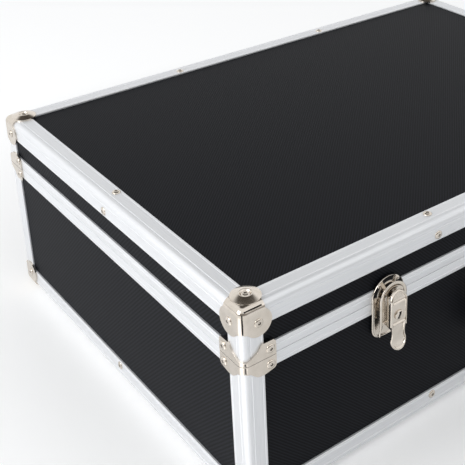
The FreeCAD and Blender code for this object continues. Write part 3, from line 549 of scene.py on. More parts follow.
@dataclass
class Finishes:
    """All finishes of the case, built once and shared by its pieces."""

    profile: dict[Grain, bpy.types.Material] = field(
        default_factory=lambda: {grain: AnodisedAluminium().material(grain) for grain in Grain})
    nickel: bpy.types.Material = field(default_factory=lambda: NickelPlate().material())
    lock: bpy.types.Material = field(
        default_factory=lambda: NickelPlate(name="polished_nickel", colour="ded6cc", roughness=0.09).material())
    level_panel: bpy.types.Material = field(
        default_factory=lambda: RibbedLaminate(pitch_mm=1.55).material("ribbed_laminate_level", (1, -1, 1)))
    end_panel: bpy.types.Material = field(
        default_factory=lambda: RibbedLaminate().material("ribbed_laminate_ends", (0, 1, 1)))
    felt: bpy.types.Material = field(default_factory=lambda: BlackFelt("black_felt").material())
    foam: bpy.types.Material = field(
        default_factory=lambda: BlackFelt("felt_faced_foam", colour="202022", sheen=0.5).material())
    plastic: bpy.types.Material = field(default_factory=lambda: MouldedPlastic().material())


# From a skin to a piece of the object


@dataclass
class Piece:
    """What a skin needs to become a piece of the object.

    Args:
        name: Name of the piece.
        body: Body that carries it.
        slot: Material slot of the record; not used.
        material: Its finish.
        replaces: CAD nodes that it stands for.
        bevel: Width in mm of the rounding along sharp edges; 0 leaves them sharp.
        crease: Angle in degrees above which an edge stays sharp.
    """

    name: str
    body: Body
    slot: str
    material: bpy.types.Material
    replaces: tuple[str, ...] = ()
    bevel: float = 0.0
    crease: float = 34.0

    def made_from(self, skin: Skin) -> bpy.types.Object:
        """Make the mesh, close its seams and poles, dress it and hang it on its body.

        Args:
            skin: Surface in mm.

        Returns:
            The finished object.
        """
        mesh = bpy.data.meshes.new(self.name)
        mesh.from_pydata(skin.points * MM, [], [face for faces in skin.faces for face in faces.tolist()])
        mesh.attributes.new("gap", "FLOAT", "POINT").data.foreach_set("value", skin.marks.astype(np.float32))
        work = bmesh.new()
        work.from_mesh(mesh)
        bmesh.ops.remove_doubles(work, verts=work.verts, dist=0.002 * MM)
        bmesh.ops.dissolve_degenerate(work, edges=work.edges, dist=0.002 * MM)
        bmesh.ops.recalc_face_normals(work, faces=work.faces)
        open_edges = sum(not edge.is_manifold for edge in work.edges)
        work.to_mesh(mesh)
        work.free()
        mesh.shade_smooth()
        mesh.set_sharp_from_angle(angle=math.radians(self.crease))
        mesh.materials.append(self.material)
        item = bpy.data.objects.new(self.name, mesh)
        bpy.context.scene.collection.objects.link(item)
        if self.bevel:
            rounding = item.modifiers.new("rounding", "BEVEL")
            rounding.width, rounding.segments = self.bevel * MM, 2
            rounding.limit_method, rounding.angle_limit = "ANGLE", math.radians(self.crease)
            rounding.use_clamp_overlap = True
        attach(item, self.body.value)
        if self.replaces:
            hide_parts(*self.replaces)
        log.info("%s: %d points, %d faces, %d open edges", self.name, len(mesh.vertices), len(mesh.polygons), open_edges)
        return item


def both_ends(skin: Skin) -> Skin:
    """A skin on the left of the case and its mirror image on the right."""
    return joined([skin, skin.mirrored(Axis.X)])


def four_corners(skin: Skin) -> Skin:
    """A skin at the front left corner and its images at the other three."""
    pair = both_ends(skin)
    return joined([pair, pair.mirrored(Axis.Y, (FRONT + BACK) / 2)])


# Frame of profiles


@dataclass
class ProfileFrame:
    """Anodised profiles round every edge: angle profiles, posts, and the two rims at the parting."""

    finishes: Finishes
    leg: float = 16.0
    grooves: tuple[float, float] = (6.0, 14.0)
    groove_half: float = 0.42
    groove_depth: float = 0.35
    band: float = 9.0
    rim_groove: float = 5.8

    def face(self, begin: float, finish: float, grooves: Sequence[float]) -> np.ndarray:
        """Outer face of a leg: (distance from the corner, depth below the outer plane).

        Depth is 0 but for each groove, where it is depth (1 - t^2)^2 with t the distance from its middle
        over its half width, and at the end, which is rounded by a quarter circle of 0.5 mm.

        Args:
            begin: Where the face starts.
            finish: Where the leg ends.
            grooves: Middle of each groove.

        Returns:
            The face's points, n by 2.
        """
        t = np.linspace(-1, 1, 7)
        places = np.concatenate([[begin]] + [groove + t * self.groove_half for groove in grooves])
        depths = np.concatenate([[0.0]] + [self.groove_depth * (1 - t ** 2) ** 1.5 for _ in grooves])
        end = arc((finish - 0.5, -0.5), 0.5, 90, 0, 5) * (1, -1)
        return np.concatenate([np.stack([places, depths], axis=1), end])

    def angle_section(self) -> np.ndarray:
        """Closed section of an angle profile, as distances from its two outer planes."""
        level = self.face(EDGE, self.leg, self.grooves)
        corner = arc((EDGE, EDGE), EDGE, 270, 180, 9)
        upright = self.face(EDGE, self.leg, self.grooves)[:, ::-1]
        inside = np.array([(SKIN, self.leg), (SKIN, SKIN + 0.6), (SKIN + 0.6, SKIN), (self.leg, SKIN)])
        return np.concatenate([level[::-1], corner[1:-1], upright, inside])

    def edges(self) -> None:
        """The eight angle profiles; each end is mitred and follows the rounded upright corner."""
        section = self.angle_section()
        inward, drop = section.T
        room = np.where(inward < EDGE, EDGE - np.sqrt(np.maximum(EDGE ** 2 - (EDGE - inward) ** 2, 0)), 0)
        start = np.maximum(inward, room)
        low = np.stack([FRONT + inward, FLOOR + drop], axis=1)
        front = carried(low, LEFT + start, RIGHT - start, Axis.X)
        low = np.stack([LEFT + inward, FLOOR + drop], axis=1)
        left = carried(low, FRONT + start, BACK - start, Axis.Y)
        around = {"front": (front, Grain.X), "back": (front.mirrored(Axis.Y, (FRONT + BACK) / 2), Grain.X),
                  "left": (left, Grain.Y), "right": (left.mirrored(Axis.X), Grain.Y)}
        for side, (skin, grain) in around.items():
            for body, piece in ((Body.BASE, skin), (Body.LID, skin.mirrored(Axis.Z, (FLOOR + TOP) / 2))):
                name = f"{body.value}_{side}_edge"
                Piece(f"{name}_profile", body, "aluminium_profile", self.finishes.profile[grain],
                      (name,)).made_from(piece)

    def posts(self) -> None:
        """The upright corner profiles of base and lid."""
        section = self.angle_section()
        outline = np.stack([LEFT + section[:, 0], FRONT + section[:, 1]], axis=1)
        for body, low, high in ((Body.BASE, FLOOR + self.leg, BASE_TOP), (Body.LID, LID_LOW, TOP - self.leg)):
            skin = four_corners(slab(outline, low, high, Axis.Z))
            Piece(f"{body.value}_corner_posts", body, "aluminium_profile", self.finishes.profile[Grain.Z],
                  (f"{body.value}_posts",)).made_from(skin)

    def rim_parts(self, upper: bool, run: Axis) -> Skin:
        """Band, web and lip of the front or left rim, each a closed section.

        Args:
            upper: Whether it is the lid's rim, which has the tongue; the base's has the channel.
            run: Direction of the rim.

        Returns:
            The rim at the front or the left.
        """
        t = np.linspace(-1, 1, 7)
        groove = np.stack([self.groove_depth * (1 - t ** 2) ** 1.5, self.rim_groove + t * self.groove_half], axis=1)
        near = arc((0.35, 0.35), 0.35, 270, 180, 5)
        far = arc((0.35, self.band - 0.35), 0.35, 180, 90, 5)
        band = np.concatenate([[(SKIN, 0.0)], near, groove, far, [(SKIN, self.band)]])
        lip_in, lip_out, web = SKIN + PLY, SKIN + PLY + LINING, (0.0 if upper else 2.5)
        middle = SKIN + PLY / 2
        plate = np.array([(SKIN, web), (lip_in, web), (lip_in, web + 1.5), (SKIN, web + 1.5)])
        if upper:
            tongue = np.array([(middle - 1.1, 0.0), (middle - 0.8, -2.0), (middle + 0.8, -2.0), (middle + 1.1, 0.0)])
            plate = np.concatenate([plate[:1], tongue, plate[1:]])
        lip = rounded_box((lip_in, 0.0), (lip_out, 7.0), 0.4)
        low, high, wall = ((LEFT, RIGHT, FRONT) if run is Axis.X else (FRONT, BACK, LEFT))
        inset = 0.0 if run is Axis.X else LINING + PLY
        parts = []
        for section, end in ((band, self.leg), (plate, SKIN + inset), (lip, lip_in + (LINING if inset else 0))):
            level = LID_LOW + section[:, 1] if upper else BASE_TOP - section[:, 1]
            outline = np.stack([wall + section[:, 0], level], axis=1)
            parts.append(carried(outline, np.array(low + end), np.array(high - end), run))
        return joined(parts)

    def rims(self) -> None:
        """The eight rims, four on the base and four on the lid."""
        for body, upper in ((Body.BASE, False), (Body.LID, True)):
            front, left = self.rim_parts(upper, Axis.X), self.rim_parts(upper, Axis.Y)
            around = {"front": (front, Grain.X), "back": (front.mirrored(Axis.Y, (FRONT + BACK) / 2), Grain.X),
                      "left": (left, Grain.Y), "right": (left.mirrored(Axis.X), Grain.Y)}
            for side, (skin, grain) in around.items():
                name = f"{body.value}_{side}_rim"
                Piece(f"{name}_profile", body, "aluminium_profile", self.finishes.profile[grain],
                      (name,)).made_from(skin)

    def build(self) -> None:
        """Build the whole frame."""
        self.edges()
        self.posts()
        self.rims()


# Corners and brackets folded round the frame


def folded(plan: np.ndarray, radius: float) -> np.ndarray:
    """Lay a flat plan on the rounded corner of the frame.

    p = (u, v, w) are distances from three outer planes. With q = max(p, r) and n = (p - q) / |p - q|, the
    point is q + radius n, so a flat part stays flat and a fold becomes a quarter round.

    Args:
        plan: Points as distances from the three planes, at least one of them 0.
        radius: The frame's rounding, and more for the outer side of a sheet.

    Returns:
        The points as distances from the planes.
    """
    core = np.maximum(plan, EDGE)
    away = plan - core
    return core + radius * away / np.maximum(np.linalg.norm(away, axis=-1, keepdims=True), 1e-9)


@dataclass
class CornerCaps:
    """Stamped corners: three round ears, folds with two open slits, and a domed ear that carries the case."""

    finishes: Finishes
    ear: float = 12.0
    ear_radius: float = 10.0
    strip: float = 3.65
    reach: float = 17.5
    slit: tuple[float, float] = (0.3, 1.4)
    slit_start: float = 2.2
    slit_stop: float = 15.5
    dome: float = 1.8

    def plan(self) -> tuple[np.ndarray, np.ndarray]:
        """Grid of one ear, as distances from the two folds, and the steps it was made with.

        The rows and columns are blended between the four sides of the outline: two straight folds, and
        two sides that run along a strip's end and then round the ear to its far point.

        Returns:
            The grid, n by n by 2, and the distances of its first row.
        """
        start = math.atan2(self.reach - self.ear, self.strip - self.ear)
        sweep = start - math.pi / 4
        length = self.strip + sweep * self.ear_radius
        near = np.array([0, 0.15, 0.28, 0.34, 0.85, 1.36, 1.44, 1.8, 2.15, 2.3, 2.8, 3.2])
        step = np.concatenate([near, np.linspace(self.strip, length, 27)])
        beyond = np.maximum(step - self.strip, 0)
        angle = start - beyond / self.ear_radius
        far = np.where((step <= self.strip)[:, None], np.stack([step, np.full_like(step, self.reach)], axis=1),
                       self.ear + self.ear_radius * np.stack([np.cos(angle), np.sin(angle)], axis=1))
        fold = np.where(step <= self.strip, step,
                        self.strip + beyond * (self.reach - self.strip) / (length - self.strip))
        side = np.stack([fold, np.zeros_like(fold)], axis=1)
        a = (fold / self.reach)[:, None, None]
        b = (fold / self.reach)[None, :, None]
        bottom, top = side[:, None, :], far[:, None, :]
        left, right = side[None, :, ::-1], far[None, :, ::-1]
        corners = ((1 - a) * (1 - b) * 0 + a * (1 - b) * side[-1] + (1 - a) * b * side[-1][::-1] + a * b * far[-1])
        return (1 - b) * bottom + b * top + (1 - a) * left + a * right - corners, fold

    def ear_sheet(self, order: tuple[int, int, int], slits: bool) -> Skin:
        """One ear as a closed sheet, but for its two folds, which the neighbouring ears close.

        Args:
            order: Where the two distances of the plan and the plane's own distance go.
            slits: Whether this ear's folds are open.

        Returns:
            The ear, as distances from the three planes.
        """
        grid, _ = self.plan()
        flat = np.concatenate([grid, np.zeros((*grid.shape[:2], 1))], axis=-1)
        u, v = grid[..., 0], grid[..., 1]
        marks = np.zeros(u.shape)
        # painted shade: the two slits along the folds are pushed in and marked, so the finish paints them dark for the
        # shade inside the open fold
        if slits:
            low, high = self.slit
            marks = np.where(((u >= low) & (u <= high) & (v >= self.slit_start))
                             | ((v >= low) & (v <= high) & (u >= self.slit_start) & (u <= self.slit_stop)), 1.0, 0.0)
        outer = folded(flat, EDGE + SHEET)
        inner = folded(flat, EDGE)
        outer = outer + (inner - outer) * 0.85 * marks[..., None]
        skin = sheet(outer, inner, marks, rims=(False, True, False, True))
        return skin.swapped(order)

    def corner(self) -> Skin:
        """The corner whose domed ear is level, as distances from the left, front and lower planes."""
        level = self.ear_sheet((0, 1, 2), slits=False)
        front = self.ear_sheet((0, 2, 1), slits=True)
        left = self.ear_sheet((2, 0, 1), slits=False)
        # dome: h (1 - ((r - a) / (R - a))^1.25) from the crown's radius a, and a dimple that turns in smoothly
        crown = 4.3
        spread = np.linspace(self.ear_radius, crown, 12)
        rise = self.dome * (1 - ((spread - crown) / (self.ear_radius - crown)) ** 1.25)
        hollow = [(3.95, 1.7), (3.7, 1.42), (3.45, 1.05), (3.2, 0.6), (2.8, 0.42), (0.0, 0.4)]
        profile = [(self.ear_radius, -0.5), *zip(spread, rise), *hollow]
        dome = lathed(profile, sides=48).moved(self.ear, self.ear, 0)
        dome = Skin(dome.points * (1, 1, -1) - (0, 0, SHEET), dome.faces, dome.marks)
        under = Skin(np.stack([dome.points[:48, 0], dome.points[:48, 1], np.full(48, -SHEET + 0.5)], axis=1),
                     [np.arange(48)[None, :]], np.zeros(48))
        return joined([level, front, left, dome, under])

    def build(self) -> None:
        """Four corners on the base and, turned over, four on the lid."""
        corner = self.corner().moved(LEFT, FRONT, FLOOR)
        below = four_corners(corner)
        for body, skin in ((Body.BASE, below), (Body.LID, below.mirrored(Axis.Z, (FLOOR + TOP) / 2))):
            Piece(f"{body.value}_corner_caps", body, "plated_steel", self.finishes.nickel,
                  (f"{body.value}_corners",), bevel=0.25, crease=50).made_from(skin)


@dataclass
class MiddleBrackets:
    """Brackets that tie each post to the rims: a notched one that leaves a narrow neck, and a plain wide one."""

    finishes: Finishes
    reach: float = 24.4
    leg: float = 16.0
    neck: float = 3.1
    rise: float = 11.7
    wide: float = 11.6
    end: float = 9.9

    def bracket(self, notched: bool) -> Skin:
        """A bracket above the parting at the front left corner.

        Column s is the distance from the corner, negative on the left; a point stands at height
        t h(s), with h the outline's height there, and is folded round the post.

        Args:
            notched: Whether it is the notched kind.

        Returns:
            The bracket, as distances from the left and front planes and the height above the parting.
        """
        reach = self.reach
        tip = np.array([reach, reach - 0.25, reach - 0.6, reach - 1.1, reach - 1.8])
        inner = np.array([17.5, 16.5, 16, 15.2, 14, 12.8, 12, 11, 10.4, 9, 7.5, 6, 5.2, 4.5, 3.6, 2.7, 1.8, 0.9, 0])
        s = np.concatenate([tip, inner])
        if notched:
            height = np.interp(s, [0, self.neck, 10.4, 12.8, 14, 22.6, 23.3, 23.8, 24.15, 24.4],
                               [self.neck, self.neck, 7.3, 10.4, self.rise, self.rise, 10.9, 10.5, 10.0, 9.2])
        else:
            height = np.interp(s, [0, 4.5, 9.4, 12, 15, 17, 22.6, 23.3, 23.8, 24.15, 24.4],
                               [5.3, 6.3, 10.7, 11.4, self.wide, 11.2, self.end, 9.4, 8.8, 8.1, 7.2])
        places = np.concatenate([-s, s[-2::-1]])
        height = np.concatenate([height, height[-2::-1]])
        t = np.array([0, 0.02, 0.2, 0.4, 0.6, 0.8, 0.98, 1.0])
        flat = np.zeros((len(places), len(t), 3))
        flat[..., 0] = np.maximum(places, 0)[:, None]
        flat[..., 1] = np.maximum(-places, 0)[:, None]
        flat[..., 2] = 100.0
        level = height[:, None] * t[None, :]
        grids = []
        for radius in (EDGE + SHEET, EDGE):
            grid = folded(flat, radius)
            grid[..., 2] = level
            grids.append(grid)
        # the fold stands open in a short crescent beside the corner: it is pushed in, and its middle is marked so that
        # the finish paints it dark as painted shade
        beside = np.exp(-((places[:, None] - 1.8) / 0.55) ** 2)
        span = (level > (0.6 if notched else 1.0)) & (level < (2.4 if notched else 4.6))
        marks = np.where(span, beside, 0.0)
        grids[0] = grids[0] + (grids[1] - grids[0]) * 0.7 * marks[..., None]
        return sheet(grids[0], grids[1], np.where(marks > 0.6, 1.0, 0.0))

    def build(self) -> None:
        """Notched over plain at the front corners, and the other way round at the back."""
        lid_notched = self.bracket(True).moved(LEFT, FRONT, LID_LOW)
        lid_plain = self.bracket(False).moved(LEFT, FRONT, LID_LOW)
        middle = (FRONT + BACK) / 2
        lid = joined([both_ends(lid_notched), both_ends(lid_plain.mirrored(Axis.Y, middle))])
        base = joined([both_ends(lid_plain), both_ends(lid_notched.mirrored(Axis.Y, middle))])
        for body, skin in ((Body.LID, lid), (Body.BASE, base.mirrored(Axis.Z, PARTING))):
            Piece(f"{body.value}_middle_brackets", body, "plated_steel", self.finishes.nickel,
                  (f"{body.value}_brackets",), bevel=0.25, crease=50).made_from(skin)


class Facing(Enum):
    """Which way a rivet's head looks, as where its own X, Y and Z go and with what sign."""

    FRONT = ((0, 2, 1), (1, -1, 1))
    BACK = ((0, 2, 1), (1, 1, 1))
    LEFT = ((2, 1, 0), (-1, 1, 1))
    DOWN = ((0, 1, 2), (1, 1, -1))


@dataclass
class Rivets:
    """Blind rivets: a low domed head, its middle open on the stub of the mandrel."""

    finishes: Finishes
    radius: float = 3.25
    height: float = 1.1

    def head(self, x: float, y: float, z: float, facing: Facing) -> Skin:
        """One head on a surface.

        Args:
            x: Place along X.
            y: Place along Y.
            z: Place along Z.
            facing: Which way it looks.

        Returns:
            The head, closed at its foot.
        """
        r, h = self.radius, self.height
        profile = [(0, 0), (r, 0), (r, 0.18 * h), (0.94 * r, 0.42 * h), (0.8 * r, 0.7 * h), (0.6 * r, 0.92 * h),
                   (0.42 * r, h), (0.34 * r, 0.94 * h), (0.3 * r, 0.45 * h), (0.2 * r, 0.4 * h),
                   (0.16 * r, 0.62 * h), (0, 0.72 * h)]
        skin = lathed(profile, sides=18)
        # painted shade: the ring round the mandrel's stub is marked, so the finish paints it dark for the shade in the
        # hole
        radii = np.linalg.norm(skin.points[:, :2], axis=1)
        skin.marks = np.where((radii > 0.18 * r) & (radii < 0.32 * r) & (skin.points[:, 2] < 0.6 * h)
                              & (skin.points[:, 2] > 0.1), 1.0, 0.0)
        order, signs = facing.value
        turned = skin.points[:, list(order)] * np.array(signs)
        return Skin(turned + np.array([x, y, z]), skin.faces, skin.marks)

    def build(self) -> None:
        """All heads of base and lid, in the places that the CAD nodes give them."""
        ear, third, row = 12.0, (LEFT - RIGHT) / 6, 11.5
        corner = [
            self.head(third, FRONT, FLOOR + row, Facing.FRONT),
            self.head(third, FRONT + row, FLOOR, Facing.DOWN),
            self.head(LEFT + ear, FRONT - SHEET, FLOOR + ear, Facing.FRONT),
            self.head(LEFT - SHEET, FRONT + ear, FLOOR + ear, Facing.LEFT),
            self.head(LEFT + ear, FRONT + ear, FLOOR - 1.6, Facing.DOWN),
        ]
        middle = (FRONT + BACK) / 2
        side = [self.head(LEFT, middle, FLOOR + row, Facing.LEFT),
                self.head(LEFT + row, middle, FLOOR, Facing.DOWN)]
        bracket = [self.head(LEFT + 20, FRONT - SHEET, PARTING - 6, Facing.FRONT),
                   self.head(LEFT - SHEET, FRONT + 20, PARTING - 6, Facing.LEFT)]
        hinge = [self.head(-150 + along * 52 / 3, BACK + SHEET, PARTING - 11.5, Facing.BACK) for along in (-1, 1)]
        grip = [self.head(-43, FRONT, 97 + along * 9.6, Facing.FRONT) for along in (-1, 1)]
        frames = joined([four_corners(joined(corner)), both_ends(joined(side))])
        ties = joined([four_corners(joined(bracket)), both_ends(joined(hinge))])
        base = joined([frames, ties, both_ends(joined(grip))])
        lid = joined([frames.mirrored(Axis.Z, (FLOOR + TOP) / 2), ties.mirrored(Axis.Z, PARTING)])
        for body, skin in ((Body.BASE, base), (Body.LID, lid)):
            Piece(f"{body.value}_rivet_heads", body, "plated_steel", self.finishes.nickel,
                  (f"{body.value}_rivets",), crease=60).made_from(skin)



# Latches


def stamped(half_width: np.ndarray, height: np.ndarray, cross: Sequence[tuple[float, float]],
            wall: np.ndarray, thickness: float, fill: int = 14,
            relief: Callable[[np.ndarray, np.ndarray], tuple[np.ndarray, np.ndarray]] | None = None) -> Skin:
    """A stamped plate with turned-down sides, in the XZ plane, facing -Y.

    Row i lies at height z_i and half width w_i. Across it a profile of (inset d, depth y) runs in from
    each side along the outline's normal, its first point pushed back by wall_i, and straight lines fill
    the middle. The inner side is the outer one moved in and back by the thickness.

    Args:
        half_width: Half width of each row; 0 at an end that comes to a point of the outline.
        height: Height of each row.
        cross: Inset and depth of the profile from the foot of the side to the flat.
        wall: Depth of the foot of the side in each row.
        thickness: Thickness of the sheet.
        fill: Number of columns across the flat.
        relief: Extra depth and gap mark for points of the outer side, from their x and z.

    Returns:
        The closed plate.
    """
    edge = np.stack([half_width, height], axis=1)
    along = np.gradient(edge, axis=0)
    along[0] = (1.0, 0.0) if half_width[0] < 1e-6 else along[0]
    along[-1] = (-1.0, 0.0) if half_width[-1] < 1e-6 else along[-1]
    along /= np.linalg.norm(along, axis=1, keepdims=True)
    inward = np.stack([along[:, 1], -along[:, 0]], axis=1)
    inward = np.where((inward[:, :1] > 0), -inward, inward)
    inset, depth = np.array(cross, float).T

    def side(shift: float, back: float) -> np.ndarray:
        """Profile points on the right, moved in by a shift and back by an amount."""
        move = np.maximum(inset, shift)
        flat = edge[:, None, :] + inward[:, None, :] * move[None, :, None]
        flat[..., 0] = np.maximum(flat[..., 0], 0)
        y = np.broadcast_to(depth + back, flat.shape[:2]).copy()
        y[:, 0] = wall
        y = np.minimum(y, wall[:, None])
        return np.stack([flat[..., 0], y, flat[..., 1]], axis=-1)

    grids = []
    for shift, back in ((0.0, 0.0), (thickness, thickness)):
        right = side(shift, back)
        left = right * (-1, 1, 1)
        t = np.linspace(-1, 1, fill + 2)[1:-1]
        middle = np.repeat(right[:, -1:, :], fill, axis=1)
        middle[..., 0] *= t
        grids.append(np.concatenate([left, middle, right[:, ::-1]], axis=1))
    outer, inner = grids
    marks = np.zeros(outer.shape[:2])
    if relief is not None:
        extra, marks = relief(outer[..., 0], outer[..., 2])
        outer[..., 1] += extra
    ends = (bool(half_width[0] > 1e-6), bool(half_width[-1] > 1e-6))
    return sheet(outer, inner, marks, rims=(*ends, True, True))


def slender(start: float, stop: float, radius: float, x: float, y: float, z: float, axis: Axis,
            chamfer: float = 0.2, sides: int = 20) -> Skin:
    """A pin or knuckle: a cylinder with a small chamfer at each end, along an axis through a point."""
    profile = [(0, start), (radius - chamfer, start), (radius, start + chamfer), (radius, stop - chamfer),
               (radius - chamfer, stop), (0, stop)]
    order = {Axis.X: (2, 0, 1), Axis.Y: (0, 2, 1), Axis.Z: (0, 1, 2)}[axis]
    return lathed(profile, sides).swapped(order).moved(x, y, z)


@dataclass
class Latches:
    """Two draw latches: a lever on a fixed pin carries the bail, which hooks over the keeper on the lid."""

    finishes: Finishes
    place: float = 129.5
    width: float = 28.4
    drop: float = 30.0
    pin_y: float = FRONT - 9.7
    pin_z: float = PARTING + 2.5
    bail_y: float = FRONT - 6.2
    bail_z: float = PARTING + 2.5 - 17.5
    lock_z: float = PARTING + 2.5 - 11.0
    face: float = FRONT - 12.8
    lever_half: float = 7.5
    waist: float = 6.2
    tail_round: float = 7.0
    tail: float = PARTING + 2.5 - 38.8
    pin: float = 1.2
    bail_mid: float = 10.7
    curl: float = 7.0

    def base_plate(self) -> Skin:
        """The plate on the base: a rolled rim round a dished middle, two lugs with their pins, the cam's hook."""
        low, top, half, r = BASE_TOP - self.drop, BASE_TOP, self.width / 2, 8.0
        turn = np.radians(np.linspace(90, 0, 12))
        z = np.concatenate([[top, top - 0.4], np.linspace(top - 2, low + r + 1, 10), low + r - r * np.cos(turn)])
        w = np.concatenate([[half, half], np.full(10, half), half - r + r * np.sin(turn)])
        foot = np.linspace(half - r, 0, 9)[1:]
        z = np.concatenate([z, low - 0.6 * (1 - (foot / (half - r)) ** 2)])
        w = np.concatenate([w, foot])
        cross = [(0.0, 0.0), (0.0, -0.7), (0.25, -1.15), (0.7, -1.3), (1.2, -1.2), (1.6, -0.75), (1.9, -0.6)]

        def dish(x: np.ndarray, height: np.ndarray) -> tuple[np.ndarray, np.ndarray]:
            """A long oval dent down the middle of the plate."""
            oval_dent = np.exp(-((x / 7.0) ** 4 + ((height - (low + 14)) / 12.0) ** 4))
            return 0.35 * oval_dent, np.zeros_like(x)

        plate = stamped(w, z, cross, np.zeros(len(z)), 0.5, fill=20, relief=dish)
        plate = plate.moved(0, FRONT, 0)
        lug_out, sheet_steel = self.lever_half - 1.0 - 0.25, SHEET
        eye = 2.0
        web = np.array([(FRONT - 1.0, BASE_TOP - 11.2), (FRONT - 1.0, BASE_TOP - 0.6)])
        head = arc((self.pin_y, self.pin_z), eye, 60, 225, 10)
        web = np.concatenate([web, head])
        parts = [plate]
        for side in (-1, 1):
            inner = side * (lug_out - sheet_steel / 2) - sheet_steel / 2
            parts.append(slab(web, inner, inner + sheet_steel, Axis.X))
            near, far = sorted((side * (lug_out - sheet_steel / 2), side * (self.lever_half + 0.25)))
            parts.append(slender(near, far, self.pin, 0, self.pin_y, self.pin_z, Axis.X))
        hook_x, hook_low = 3.75, self.lock_z - 4.7 - SHEET
        hook_y = FRONT - 3.4 - 2.4 * SHEET
        parts.append(slab(rounded_box((hook_y, hook_low), (FRONT - 0.3, hook_low + SHEET), 0.3),
                          hook_x, hook_x + SHEET, Axis.X))
        parts.append(slab(rounded_box((hook_y, hook_low), (hook_y + SHEET, hook_low + 4.7 + 2 * SHEET), 0.3),
                          hook_x, hook_x + SHEET, Axis.X))
        return joined(parts)

    def keeper(self) -> Skin:
        """The arched keeper on the lid, with three windows painted dark as painted shade, a rivet and the ledge that
        the bail pulls on.
        """
        radius = self.width / 2
        turn = np.linspace(0, math.pi / 2, 26)
        z = np.concatenate([self.pin_z + radius * np.cos(turn), [self.pin_z - 1.2, LID_LOW]])
        w = np.concatenate([radius * np.sin(turn), [radius, radius]])
        cross = [(0.0, 0.0), (0.0, -0.8), (0.2, -1.15), (0.6, -1.35), (1.1, -1.2), (1.5, -1.1), (2.3, -1.1),
                 (3.1, -1.1), (3.9, -1.1), (4.7, -1.1), (5.4, -1.1)]

        def windows(x: np.ndarray, height: np.ndarray) -> tuple[np.ndarray, np.ndarray]:
            """Three slots in polar form: |r - 11.9| < 1.75 and 11.9 |a - a0| < 4.6, a0 at -62, 0 and 62 degrees."""
            rise = height - self.pin_z
            reach, angle = np.hypot(x, rise), np.arctan2(x, rise)
            inside = np.zeros_like(x)
            for middle in np.radians((-62, 0, 62)):
                inside = np.maximum(inside, (np.abs(reach - 11.9) < 1.75) & (np.abs(angle - middle) * 11.9 < 4.6))
            # painted shade: the windows are sunk 0.9 mm and marked, so the finish paints them dark
            return 0.9 * inside, inside.astype(float)

        arch = stamped(w, z, cross, np.zeros(len(z)), 0.5, fill=18, relief=windows).moved(0, FRONT, 0)
        out, inn = 9.2, 8.0
        half = math.degrees(math.acos(4.7 / 9.2))
        ring = np.concatenate([arc((0, self.pin_z), out, 90 - half, 90 + half, 20),
                               arc((0, self.pin_z), inn, 90 + half, 90 - half, 20)])
        ledge = slab(ring, self.bail_y - 1.2, FRONT - 0.3, Axis.Y)
        studs = [Rivets(self.finishes, radius=1.5, height=0.8).head(x, FRONT - 1.05, self.pin_z + rise, Facing.FRONT)
                 for x, rise in ((8.3, 9.3), (-8.3, 9.3))]
        return joined([arch, ledge, *studs])

    def lever(self) -> Skin:
        """The lever: raised sides round an arched face, two pressed ridges, a waisted tongue that curls out."""
        turn = np.linspace(0, math.pi / 2, 14)
        arch_z = self.pin_z + self.lever_half * np.cos(turn)
        arch_w = self.lever_half * np.sin(turn)
        shoulder = self.bail_z - self.pin
        body_z = np.linspace(self.pin_z, shoulder, 64)[1:]
        body_w = np.full(63, self.lever_half)
        neck_z = np.array([shoulder - 0.4, shoulder - 1.0, shoulder - 1.8])
        neck_w = np.array([self.lever_half - 0.6, self.waist + 0.35, self.waist])
        centre = self.tail + self.tail_round
        meet = math.acos(self.waist / self.tail_round)
        tongue_z = np.linspace(shoulder - 3, centre + self.tail_round * math.sin(meet), 9)
        tongue_w = self.waist - 0.3 * np.sin(np.linspace(0, math.pi, 9))
        swing = np.linspace(meet, -math.pi / 2, 18)[1:]
        tail_z, tail_w = centre + self.tail_round * np.sin(swing), self.tail_round * np.cos(swing)
        z = np.concatenate([arch_z, body_z, neck_z, tongue_z, tail_z])
        w = np.concatenate([arch_w, body_w, neck_w, tongue_w, tail_w])
        w[0], w[-1] = 0.0, 0.0
        cross = [(0.0, 0.0), (0.0, 1.4), (0.1, 0.9), (0.35, 0.45), (0.75, 0.13), (1.2, 0.0), (1.55, 0.1),
                 (1.8, 0.85), (2.0, 1.0)]
        rise = self.pin_z - z
        wall = np.interp(rise, [-7.5, -4.5, -3.0, 0.0, 17.4, 20.5, 21.6, 40], [1.6, 2.2, 6.5, 8.0, 8.0, 8.0, 1.7, 1.6])

        def pressed(x: np.ndarray, height: np.ndarray) -> tuple[np.ndarray, np.ndarray]:
            """Two ridges across the face, 1 - |z - z0| / s, and the curl of the tongue's end."""
            inside = np.abs(x) < self.lever_half - 1.9
            ridges = sum(np.clip(1.1 - np.abs(height - level) / 0.8, 0, 1) for level in (self.pin_z - 0.6, self.bail_z))
            bend = np.clip((self.tail + self.curl - height) / self.curl, 0, 1)
            ring = np.hypot(x, height - self.lock_z)
            seat = np.where(ring < 3.6, 1.0, 0.0)
            return -1.15 * ridges * inside - 2.2 * bend ** 1.3 + 0.25 * seat, np.zeros_like(x)

        skin = stamped(w, z, cross, wall, 0.9, fill=26, relief=pressed)
        curl = np.clip((self.tail + self.curl - skin.points[:, 2]) / self.curl, 0, 1) ** 1.3
        half = len(skin.points) // 2
        skin.points[half:, 1] -= 2.2 * curl[half:]
        skin.points[:, 1] += 0.36 * np.maximum(skin.points[:, 2] - self.pin_z - 1.2, 0)
        return skin.moved(0, self.face, 0)

